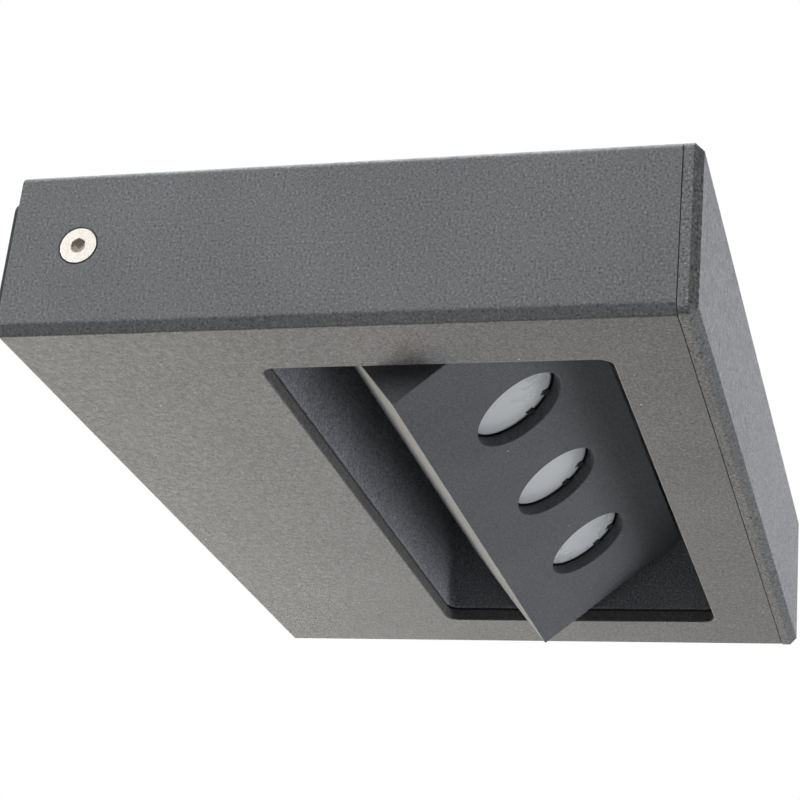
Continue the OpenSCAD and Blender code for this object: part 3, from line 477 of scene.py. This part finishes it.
# Display colour, then roughness, strength of the stains and size of the lines
METALS = {
    "zinc_sheet": ((188, 190, 192), 0.38, 0.35),
    "screw_zinc": ((190, 192, 196), 0.3, 0.25, 0.2 * MM),
    "spring_steel": ((150, 148, 142), 0.32),
    "brass": ((205, 178, 98), 0.3),
    "sink": ((200, 202, 206), 0.42, 0.2),
}
# Display colour, then roughness, strength of the dust, size of the pores and share of it as relief
MOULDINGS = {
    "foam": ((40, 48, 44), 0.85, 0.25, 0.7 * MM, 0.2),
    "seal": ((22, 22, 22), 0.6),
    "washer": ((34, 34, 35), 0.45),
    "driver_shell": ((46, 47, 49), 0.5),
    "circuit": ((24, 84, 50), 0.35, 0.1),
    "terminal": ((224, 221, 210), 0.45),
    "brown_core": ((96, 56, 30), 0.4, 0.1),
    "blue_core": ((36, 74, 150), 0.4, 0.1),
    "earth_core": ((110, 138, 36), 0.4, 0.1),
    "black_lead": ((30, 30, 31), 0.45),
    "red_core": ((158, 32, 26), 0.4, 0.1),
    "board": ((232, 232, 226), 0.35, 0.1),
    "led": ((238, 222, 130), 0.25, 0.05),
    "holder": ((42, 42, 42), 0.6),
}


def finish_of(slot):
    """The material of one of the record's slots, made on its first use."""
    name = "finish_" + slot
    if name in bpy.data.materials:
        return bpy.data.materials[name]
    colours = bpy.context.scene.lantern_colours
    grain = bpy.context.scene.lantern_sizes.coat_grain
    # Colour, size of the grains, contrast and roughness
    coats = {
        "body_coat": (colours.body, 1.1 * grain, 0.45, 0.62),
        "cover_coat": (colours.body, 1.3 * grain, 0.7, 0.62),
        # The tray's lighter colour is painted light in the shaded recess
        "tray_coat": (colours.recess, grain, 0.7, 0.55),
        "head_coat": (colours.head, grain, 0.3, 0.6),
    }
    if slot == "lens":
        return lens_material(name, colours.lens)
    if slot == "stainless":
        return screw_material(name, colours.screw)
    if slot in coats:
        return coat(name, *coats[slot])
    if slot in METALS:
        tint, *rest = METALS[slot]
        return metal(name, srgb(*tint), *rest)
    tint, *rest = MOULDINGS[slot]
    return moulded(name, srgb(*tint), *rest)


def screw_material(name, tint):
    """Bright turned head with a darker socket round the screws' common axis: the darkness is painted shade inside
    the socket.
    """
    made, tree, out = new_material(name)
    inputs = {
        "Colour": rgba(tint),
        "Stain": tinted(tint, 0.75),
        "Line size": 0.15 * MM,
        "Stain strength": 0.15,
        "Roughness": 0.24,
    }
    texture = add_texture(tree, metal_group, "Bare metal", inputs)
    middle = (SCREW_LOW + SCREW_HIGH) / 2
    place = add_node(tree, "ShaderNodeTexCoord").outputs["Object"]
    side = vector_maths(tree, "SUBTRACT", place, (0, middle.y, middle.z))[0]
    flat = vector_maths(tree, "MULTIPLY", side, (0, 1, 1))[0]
    away = vector_maths(tree, "LENGTH", flat)["Value"]
    # Painted shade: inside the hexagon socket's radius the colour turns darker, standing in for the shade in the
    # socket
    socket = remap(tree, away, SOCKET_R * 1.02, SOCKET_R * 0.94)
    colour = blend_colours(tree, socket, texture["Colour"], tinted(tint, 0.55))
    surface = {"Base Color": colour, "Roughness": texture["Roughness"], "Metallic": 1.0}
    add_surface(tree, out, surface)
    return made


def lens_material(name, tint):
    """Clear moulded lens seen as a pale disc: smooth, with a pale colour that is partly slightly milky plastic and
    partly painted reflection of the white surroundings.
    """
    made, tree, out = new_material(name)
    inputs = {
        "Colour": rgba(tint),
        "Dust": tinted(tint, 0.74),
        "Pore size": 2.5 * MM,
        "Dust strength": 0.06,
        "Roughness": 0.24,
    }
    texture = add_texture(tree, moulded_group, "Moulded", inputs)
    # Pale base colour: partly the milky plastic, partly painted reflection of the white surroundings
    surface = {
        "Base Color": texture["Colour"],
        "Roughness": remap(tree, texture["Roughness"], 0.1, 0.4, 0.26, 0.3),
        "Transmission Weight": 0.06,
        "IOR": 1.5,
    }
    add_surface(tree, out, surface)
    return made


def link_mesh(name, mesh):
    """New object in the scene for a mesh."""
    made = bpy.data.objects.new(name, mesh)
    bpy.context.scene.collection.objects.link(made)
    return made


def mesh_of(name, shape):
    """Turns a bmesh into an object and frees it."""
    mesh = bpy.data.meshes.new(name)
    bmesh.ops.recalc_face_normals(shape, faces=shape.faces)
    shape.to_mesh(mesh)
    shape.free()
    return link_mesh(name, mesh)


def soften(shape, width, segments=2, chosen=None):
    """Rounds the sharp edges of a bmesh, or the chosen ones, within the box it had before."""
    low = [min(v.co[i] for v in shape.verts) for i in range(3)]
    high = [max(v.co[i] for v in shape.verts) for i in range(3)]
    sharp = [e for e in shape.edges if e.is_manifold and e.calc_face_angle() > SOFTEN_ANGLE]
    if chosen:
        sharp = [e for e in sharp if chosen((e.verts[0].co + e.verts[1].co) / 2)]
    bmesh.ops.bevel(
        shape,
        geom=sharp,
        offset=width,
        offset_type="OFFSET",
        segments=segments,
        profile=0.5,
        affect="EDGES",
        clamp_overlap=False,
        loop_slide=True,
    )
    for vertex in shape.verts:
        vertex.co = [min(max(vertex.co[i], low[i]), high[i]) for i in range(3)]


def applied(piece, kind, **settings):
    """Adds a modifier to an object and applies it."""
    modifier = piece.modifiers.new(kind, kind)
    for name, value in settings.items():
        setattr(modifier, name, value)
    bpy.context.view_layer.update()
    shown = piece.evaluated_get(bpy.context.evaluated_depsgraph_get())
    mesh = bpy.data.meshes.new_from_object(shown)
    piece.modifiers.clear()
    old = piece.data
    piece.data = mesh
    bpy.data.meshes.remove(old)


def cut(piece, tools, operation="DIFFERENCE"):
    """Cuts the tools out of the piece, or joins them to it, and removes them."""
    for tool in tools:
        applied(piece, "BOOLEAN", operation=operation, solver="EXACT", object=tool)
        bpy.data.objects.remove(tool)


def finish_piece(piece, body, slot, nodes):
    """Gives a piece its normals, its material and its place in the frame."""
    shape = bmesh.new()
    shape.from_mesh(piece.data)
    for face in shape.faces:
        face.smooth = True
    for edge in shape.edges:
        edge.smooth = edge.calc_face_angle(0) < CREASE_ANGLE
    shape.to_mesh(piece.data)
    shape.free()
    applied(piece, "WEIGHTED_NORMAL", weight=80, keep_sharp=True)
    piece.data.materials.clear()
    piece.data.materials.append(finish_of(slot))
    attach(piece, body)
    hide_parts(*nodes)


def clean_copy(node):
    """Copy of a CAD node's mesh as a bmesh, with flat faces made whole."""
    shape = bmesh.new()
    shape.from_mesh(frame["nodes"][node].data)
    bmesh.ops.remove_doubles(shape, verts=shape.verts, dist=SAME_POINT)
    bmesh.ops.dissolve_limit(shape, angle_limit=SAME_FACE, verts=shape.verts, edges=shape.edges)
    return shape


def dress(node, name, body, slot, width):
    """Piece with softened edges in place of a CAD node."""
    shape = clean_copy(node)
    soften(shape, width)
    finish_piece(mesh_of(name, shape), body, slot, [node])


def rounded_rectangle(length, width, radius, count=6):
    """Points of a rounded rectangle, anticlockwise, with count steps on each corner."""
    points = []
    for turn, (sx, sy) in enumerate(((1, 1), (-1, 1), (-1, -1), (1, -1))):
        for k in range(count + 1):
            angle = math.radians(90 * (turn + k / count))
            x = sx * (length / 2 - radius) + radius * math.cos(angle)
            y = sy * (width / 2 - radius) + radius * math.sin(angle)
            points.append((x, y))
    return points


def loft(sections):
    """Closed bmesh through sections of equally many points."""
    shape = bmesh.new()
    rings = [[shape.verts.new(p) for p in section] for section in sections]
    count = len(rings[0])
    for low, high in zip(rings, rings[1:]):
        for i in range(count):
            j = (i + 1) % count
            shape.faces.new((low[i], low[j], high[j], high[i]))
    shape.faces.new(rings[0][::-1])
    shape.faces.new(rings[-1])
    return shape


def turned(profile, count):
    """Closed bmesh of a profile of (radius, height) points turned about Z in count steps."""
    round_z = [2 * math.pi * k / count for k in range(count)]
    return loft(
        [(radius * math.cos(a), radius * math.sin(a), height) for a in round_z]
        for radius, height in profile
    )


def angles(start, end, count):
    """Evenly spaced angles in radians between two angles in degrees."""
    return [math.radians(start + (end - start) * k / count) for k in range(count + 1)]


def arc(centre, radius, start, end, count):
    """Points of an arc in the (radius, height) plane, angles in degrees."""
    x, y = centre
    return [
        (x + radius * math.cos(a), y + radius * math.sin(a)) for a in angles(start, end, count)
    ]


def turned_along_y(name, place, radius, low, high):
    """Round bar along Y, at a place in X and Z, between two places in Y."""
    shape = turned([(radius, low), (radius, high)], BAR_SIDES)
    z_to_y = Matrix.Rotation(math.pi / 2, 4, "X") @ Matrix.Scale(-1, 4, (0, 0, 1))
    shape.transform(Matrix.Translation((place[0], 0, place[1])) @ z_to_y)
    return mesh_of(name, shape)


def cover_bosses():
    """Place, outer and inner radius, and depth of each boss of the CAD cover."""
    points = [v.co for v in frame["nodes"]["front_cover"].data.vertices]
    found = []
    for right in (False, True):
        for top in (False, True):
            side = [p for p in points if (p.x > 0) == right and (p.z > 0) == top]
            rim = [p for p in side if p.y > COVER_HIGH.y - NEAR]
            x = (min(p.x for p in rim) + max(p.x for p in rim)) / 2
            z = (min(p.z for p in rim) + max(p.z for p in rim)) / 2
            radii = [math.hypot(p.x - x, p.z - z) for p in rim]
            bore = [p.y for p in side if math.hypot(p.x - x, p.z - z) < min(radii) + NEAR]
            found.append(((x, z), max(radii), min(radii), min(bore)))
    return found


def level_box(node):
    """Lowest and highest corner of a node of the head, with the head turned level."""
    level = HEAD_PLACE.inverted()
    points = [level @ v.co for v in frame["nodes"][node].data.vertices]
    low = Vector([min(p[i] for p in points) for i in range(3)])
    high = Vector([max(p[i] for p in points) for i in range(3)])
    return low, high


def block(low, high):
    """Box between two corners, as an object for cutting."""
    shape = bmesh.new()
    bmesh.ops.create_cube(shape, size=1.0)
    size = Vector(high) - Vector(low)
    middle = (Vector(high) + Vector(low)) / 2
    shape.transform(Matrix.Translation(middle) @ Matrix.Diagonal((*size, 1.0)))
    return mesh_of("cutter", shape)


def widen_top_edges(shape, high, old, new):
    """Scales the rounding of the two upper edges along Y from an old radius to a new one."""
    for vertex in shape.verts:
        side = math.copysign(1, vertex.co.x)
        across = abs(vertex.co.x) - (high.x - old)
        up = vertex.co.z - (high.z - old)
        if min(across, up) > -NEAR / 10:
            vertex.co.x = side * (high.x - new + across * new / old)
            vertex.co.z = high.z - new + up * new / old


class LANTERN_OT_housing(bpy.types.Operator):
    """Cast box with the long opening in its underside"""

    bl_idname = "lantern.housing"
    bl_label = "Housing"

    def execute(self, context):
        shape = clean_copy("housing")
        low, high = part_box("housing")
        widen_top_edges(shape, high, TOP_EDGE_R, context.scene.lantern_sizes.cover_corner)
        # The edges at the seam with the front cover stay sharp
        rim = low.y + 0.1 * MM
        soften(shape, context.scene.lantern_sizes.body_edge, 3, lambda place: place.y > rim)
        finish_piece(mesh_of("housing_shell", shape), "lantern", "body_coat", ["housing"])
        return {"FINISHED"}


class LANTERN_OT_front_cover(bpy.types.Operator):
    """Front plate with a chamfered rim and its four bosses"""

    bl_idname = "lantern.front_cover"
    bl_label = "Front cover"

    def execute(self, context):
        sizes = context.scene.lantern_sizes
        back, front = SEAL_LOW.y, COVER_LOW.y
        length, height = COVER_HIGH.x - COVER_LOW.x, COVER_HIGH.z - COVER_LOW.z
        bend = sizes.body_edge
        # Length of a tangent of a bend by 45 degrees
        turn = bend * math.tan(math.radians(22.5))
        wide = sizes.cover_chamfer
        # A lip stands behind the back face, round its outline
        lip_wide, lip_deep = 0.7 * MM, 0.2 * MM
        # Inset from the outline and height in front of the back face
        rim = [(lip_wide, 0), (lip_wide, -lip_deep), (0, -lip_deep)]
        rim += arc((bend, back - front - wide - turn), bend, 180, 135, 3)
        rim += arc((wide + turn, back - front - bend), bend, 135, 90, 3)
        sections = []
        for inset, forward in rim:
            radius = max(sizes.cover_corner - inset, 0.12 * MM)
            outline = rounded_rectangle(length - 2 * inset, height - 2 * inset, radius)
            sections.append([(x, back - forward, z) for x, z in outline])
        plate = mesh_of("front_plate", loft(sections))
        # Bosses start half a millimetre inside the plate, and holes end past the bosses
        low, high = back - 0.5 * MM, COVER_HIGH.y
        bosses, holes = [], []
        for place, outer, inner, deep in cover_bosses():
            bosses.append(turned_along_y("boss", place, outer, low, high))
            holes.append(turned_along_y("hole", place, inner, deep, high + MM))
        cut(plate, bosses, "UNION")
        cut(plate, holes)
        finish_piece(plate, "lantern", "cover_coat", ["front_cover"])
        return {"FINISHED"}


class LANTERN_OT_recess(bpy.types.Operator):
    """Tray in which the lamp head tilts"""

    bl_idname = "lantern.recess"
    bl_label = "Recess"

    def execute(self, context):
        width = context.scene.lantern_sizes.head_edge
        dress("recess_tray", "recess_shell", "lantern", "tray_coat", width)
        return {"FINISHED"}


class LANTERN_OT_lamp_head(bpy.types.Operator):
    """Cast lamp head and its back cover"""

    bl_idname = "lantern.lamp_head"
    bl_label = "Lamp head"

    def execute(self, context):
        width = context.scene.lantern_sizes.head_edge
        dress("head_body", "head_shell", "head", "head_coat", width)
        dress("head_back", "head_lid", "head", "head_coat", width / 2)
        return {"FINISHED"}


class LANTERN_OT_lenses(bpy.types.Operator):
    """Three lenses in their clipped holders"""

    bl_idname = "lantern.lenses"
    bl_label = "Lenses"

    def execute(self, context):
        width = context.scene.lantern_sizes.sheet_edge
        for i in (1, 2, 3):
            make_lens(i)
            make_holder(i, width / 3)
        return {"FINISHED"}


# Angles of the holder's clips round the lens, in degrees
CLIP_ANGLES = (-50, -15)
# Depth, width and height of a notch in the lens, and the gap that it leaves round a clip
NOTCH = (1.7 * MM, 1.9 * MM, 2.6 * MM)
NOTCH_GAP = 0.12 * MM
# Depth of a clip's front behind the lens's face, and how far the clip reaches into the holder
CLIP_FRONT = 0.35 * MM
CLIP_OVERLAP = 0.4 * MM


def lens_place(node):
    """Radius and depth of a CAD lens, and the turn and place of the middle of its face."""
    low, high = level_box(node)
    place = HEAD_PLACE @ Matrix.Translation(((low.x + high.x) / 2, 0, low.z))
    return (high.x - low.x) / 2, high.z - low.z, place


def at_clips(low, high):
    """A block at each clip's angle, between two corners given for angle zero."""
    blocks = []
    for angle in CLIP_ANGLES:
        made = block(low, high)
        made.data.transform(Matrix.Rotation(math.radians(angle), 4, "Z"))
        blocks.append(made)
    return blocks


def make_lens(number):
    """Lens with a flat face that slopes off to its rim, two notches, and a hollow cone behind."""
    node = f"lens_{number}"
    radius, depth, place = lens_place(node)
    # Radius of the flat face, then width, fall, curve and steps of the slope round it
    flat, slope, fall, power, count = radius * 0.6, radius * 0.42, 0.5 * MM, 1.2, 8
    # Overhang of the rim, its front and back, and the back of the disc, behind the face
    lip, lip_front, lip_back, disc_back = 0.35 * MM, fall + 0.15 * MM, 0.95 * MM, 1.2 * MM
    # Radius of the cone at its two ends, then radius, depth and dome of the hollow in its tip
    base, tip, hollow, hollow_deep, dome = 9.2 * MM, 4.5 * MM, 2.6 * MM, 2 * MM, 1.2 * MM
    rim = [(0.02 * MM, 0), (radius * 0.3, 0)]
    rim += [(flat + slope * k / count, fall * (k / count) ** power) for k in range(count + 1)]
    rim += [(radius + lip, lip_front), (radius + lip, lip_back), (radius, lip_back)]
    rim += [(radius, disc_back), (base, disc_back)]
    dome_start = depth - hollow_deep
    rim += [(tip, depth), (hollow, depth), (hollow, dome_start)]
    rim += [(hollow * math.cos(a), dome_start - dome * math.sin(a)) for a in angles(15, 89, 5)]
    lens = mesh_of(f"lens_disc_{number}", turned(rim, LENS_SIDES))
    deep, wide, tall = NOTCH
    cut(lens, at_clips((radius - deep, -wide / 2, -MM), (radius + MM, wide / 2, tall)))
    lens.data.transform(place)
    finish_piece(lens, "head", "lens", [node])


def make_holder(number, width):
    """Black holder whose two clips fill the lens's notches."""
    radius, _, place = lens_place(f"lens_{number}")
    shape = clean_copy(f"lens_holder_{number}")
    soften(shape, width)
    holder = mesh_of(f"lens_cup_{number}", shape)
    deep, wide, tall = NOTCH
    low = (radius - deep + NOTCH_GAP, NOTCH_GAP - wide / 2, CLIP_FRONT)
    high = (radius + CLIP_OVERLAP, wide / 2 - NOTCH_GAP, tall - NOTCH_GAP)
    clips = at_clips(low, high)
    for clip in clips:
        clip.data.transform(place)
    cut(holder, clips, "UNION")
    finish_piece(holder, "head", "holder", [f"lens_holder_{number}"])


class LANTERN_OT_side_screws(bpy.types.Operator):
    """Bright countersunk screws in the two ends"""

    bl_idname = "lantern.side_screws"
    bl_label = "Side screws"

    def execute(self, context):
        width = context.scene.lantern_sizes.sheet_edge / 2
        dress("side_screws", "end_screws", "lantern", "stainless", width)
        return {"FINISHED"}


class LANTERN_OT_wall_plate(bpy.types.Operator):
    """Wall bracket, its foam gasket and the cable grommet"""

    bl_idname = "lantern.wall_plate"
    bl_label = "Wall plate"

    def execute(self, context):
        width = context.scene.lantern_sizes.sheet_edge
        dress("wall_bracket", "bracket_plate", "lantern", "zinc_sheet", width)
        dress("wall_gasket", "foam_gasket", "lantern", "foam", width)
        dress("cable_grommet", "rubber_grommet", "lantern", "seal", 2 * width)
        return {"FINISHED"}


class LANTERN_OT_inner_parts(bpy.types.Operator):
    """Finishes of the pieces inside, which keep their CAD shapes"""

    bl_idname = "lantern.inner_parts"
    bl_label = "Inner parts"

    def execute(self, context):
        rows = frame["record"]["subparts"]
        slots = {row["node"]: row["material_slot"] for row in rows}
        for name, piece in frame["nodes"].items():
            if not piece.hide_render:
                piece.material_slots[0].material = finish_of(slots[name])
        return {"FINISHED"}


class LANTERN_OT_stage(bpy.types.Operator):
    """Floor, lamps, background and camera"""

    bl_idname = "lantern.stage"
    bl_label = "Stage"

    def execute(self, context):
        scene = context.scene
        make_floor(scene.lantern_sizes.floor_drop, scene.lantern_colours.floor)
        make_background(scene)
        for lamp in LAMPS:
            make_lamp(*lamp)
        make_camera(scene)
        return {"FINISHED"}


# Name, direction from the lantern, distance, side length, power in watts, beam angle, tint
LAMPS = [
    ("near_lamp", (-0.62, 0.72, 0.2), 3.0, 1.2, 6.7, 40, (0.93, 0.97, 1.0)),
    ("corner_lamp", (-0.75, -0.66, 0.35), 1.4, 0.6, 0.8, 60, (0.96, 0.98, 1.0)),
    ("front_lamp", (0.75, -0.6, 0.35), 1.4, 0.6, 0.98, 60, (0.88, 0.91, 1.0)),
    ("top_lamp", (0.1, 0.25, 1.0), 1.5, 0.4, 3.4, 60, (0.95, 0.98, 1.0)),
    ("under_front_lamp", (0.4, -0.75, -0.5), 0.9, 0.4, 0.8, 90, (0.957, 0.961, 1.0)),
    ("under_wall_lamp", (0.6, 0.9, -0.35), 0.9, 0.4, 2.0, 90, (1.0, 0.876, 0.705)),
    ("under_far_lamp", (0.8, 0.5, -0.5), 0.9, 0.4, 1.16, 90, (0.97, 1.0, 1.0)),
]
# Strength of the world where only light falls from it
AMBIENT = 0.02
# Half the floor's side, and the distances from its middle between which it turns white
FLOOR_HALF = 8.0
FLOOR_FADE = (0.6, 2.2)
# Place in metres, turn in degrees and focal length in millimetres
CAMERA_PLACE = (-434.65 * MM, -191.43 * MM, -186.65 * MM)
CAMERA_TURN = (113.555, -5.392, -74.95)
CAMERA_LENS = 93.11


def seen_directly(tree):
    """One for the rays of the camera, of gloss and of glass, and zero for all others."""
    path = add_node(tree, "ShaderNodeLightPath").outputs
    seen = maths(tree, "ADD", path["Is Camera Ray"], path["Is Glossy Ray"])
    seen = maths(tree, "ADD", seen, path["Is Transmission Ray"])
    return maths(tree, "MINIMUM", seen, 1.0)


def make_floor(drop, colour):
    """Pale floor, half faded to white under the lantern and wholly far from it, where seen."""
    shape = bmesh.new()
    bmesh.ops.create_grid(shape, x_segments=1, y_segments=1, size=FLOOR_HALF)
    floor = mesh_of("floor", shape)
    floor.location = (0, 0, -drop)
    made, tree, out = new_material("floor")
    place = add_node(tree, "ShaderNodeTexCoord").outputs["Object"]
    away = vector_maths(tree, "LENGTH", place)["Value"]
    mottle = remap(tree, noise(tree, place, 6.0, 3.0), 0.3, 0.7, 0.0, 0.04)
    tone = blend_colours(tree, mottle, rgba(colour), (0.5, 0.5, 0.5, 1))
    paint = add_node(tree, "ShaderNodeBsdfPrincipled", {"Base Color": tone, "Roughness": 0.8})
    white = add_node(tree, "ShaderNodeEmission", {"Color": (1, 1, 1, 1), "Strength": 1.0})
    fade = maths(tree, "MULTIPLY", remap(tree, away, *FLOOR_FADE, 0.5, 1.0), seen_directly(tree))
    inputs = {0: fade, 1: paint.outputs[0], 2: white.outputs[0]}
    both = add_node(tree, "ShaderNodeMixShader", inputs)
    tree.links.new(both.outputs[0], out.inputs["Surface"])
    floor.data.materials.append(made)


def make_background(scene):
    """White where the camera, gloss or glass looks at it, and a soft fill elsewhere."""
    world = bpy.data.worlds.new("studio")
    world.use_nodes = True
    tree = world.node_tree
    tree.nodes.clear()
    strength = remap(tree, seen_directly(tree), 0.0, 1.0, AMBIENT, 1.0)
    fill = add_node(tree, "ShaderNodeBackground", {"Color": (1, 1, 1, 1), "Strength": strength})
    out = add_node(tree, "ShaderNodeOutputWorld")
    tree.links.new(fill.outputs[0], out.inputs["Surface"])
    scene.world = world


def make_lamp(name, direction, distance, side, power, beam, tint):
    """Square soft lamp that looks at the lantern and isn't seen itself."""
    light = bpy.data.lights.new(name, "AREA")
    light.size = side
    light.energy = power
    light.spread = math.radians(beam)
    light.color = tint
    lamp = bpy.data.objects.new(name, light)
    middle = (CAD_BOX[0] + CAD_BOX[1]) / 2
    away = Vector(direction).normalized()
    lamp.location = middle + away * distance
    lamp.rotation_euler = away.to_track_quat("Z", "Y").to_euler()
    lamp.visible_camera = False
    bpy.context.scene.collection.objects.link(lamp)


def make_camera(scene):
    """Camera below and beside the lantern's left end."""
    data = bpy.data.cameras.new("camera")
    data.sensor_width = 36
    data.lens = CAMERA_LENS
    camera = bpy.data.objects.new("camera", data)
    camera.location = CAMERA_PLACE
    camera.rotation_euler = [math.radians(a) for a in CAMERA_TURN]
    scene.collection.objects.link(camera)
    scene.camera = camera
    scene.view_settings.view_transform = "Standard"


PIECES = (
    LANTERN_OT_housing,
    LANTERN_OT_front_cover,
    LANTERN_OT_recess,
    LANTERN_OT_lamp_head,
    LANTERN_OT_lenses,
    LANTERN_OT_side_screws,
    LANTERN_OT_wall_plate,
    LANTERN_OT_inner_parts,
    LANTERN_OT_stage,
)


class LANTERN_PT_panel(bpy.types.Panel):
    """Lists the lantern's pieces, sizes and colours."""

    bl_idname = "LANTERN_PT_panel"
    bl_label = "Wall Lantern"
    bl_space_type = "VIEW_3D"
    bl_region_type = "UI"
    bl_category = "Lantern"

    def draw(self, context):
        scene = context.scene
        for group in (scene.lantern_sizes, scene.lantern_colours):
            box = self.layout.box()
            for name in group.__annotations__:
                box.prop(group, name)
        for piece in PIECES:
            self.layout.operator(piece.bl_idname)


CLASSES = (LanternSizes, LanternColours, *PIECES, LANTERN_PT_panel)


def register():
    for item in CLASSES:
        bpy.utils.register_class(item)
    bpy.types.Scene.lantern_sizes = PointerProperty(type=LanternSizes)
    bpy.types.Scene.lantern_colours = PointerProperty(type=LanternColours)


def unregister():
    del bpy.types.Scene.lantern_colours
    del bpy.types.Scene.lantern_sizes
    for item in reversed(CLASSES):
        bpy.utils.unregister_class(item)


def main():
    register()
    for piece in PIECES:
        group, name = piece.bl_idname.split(".")
        getattr(getattr(bpy.ops, group), name)()


if __name__ == "__main__":
    main()
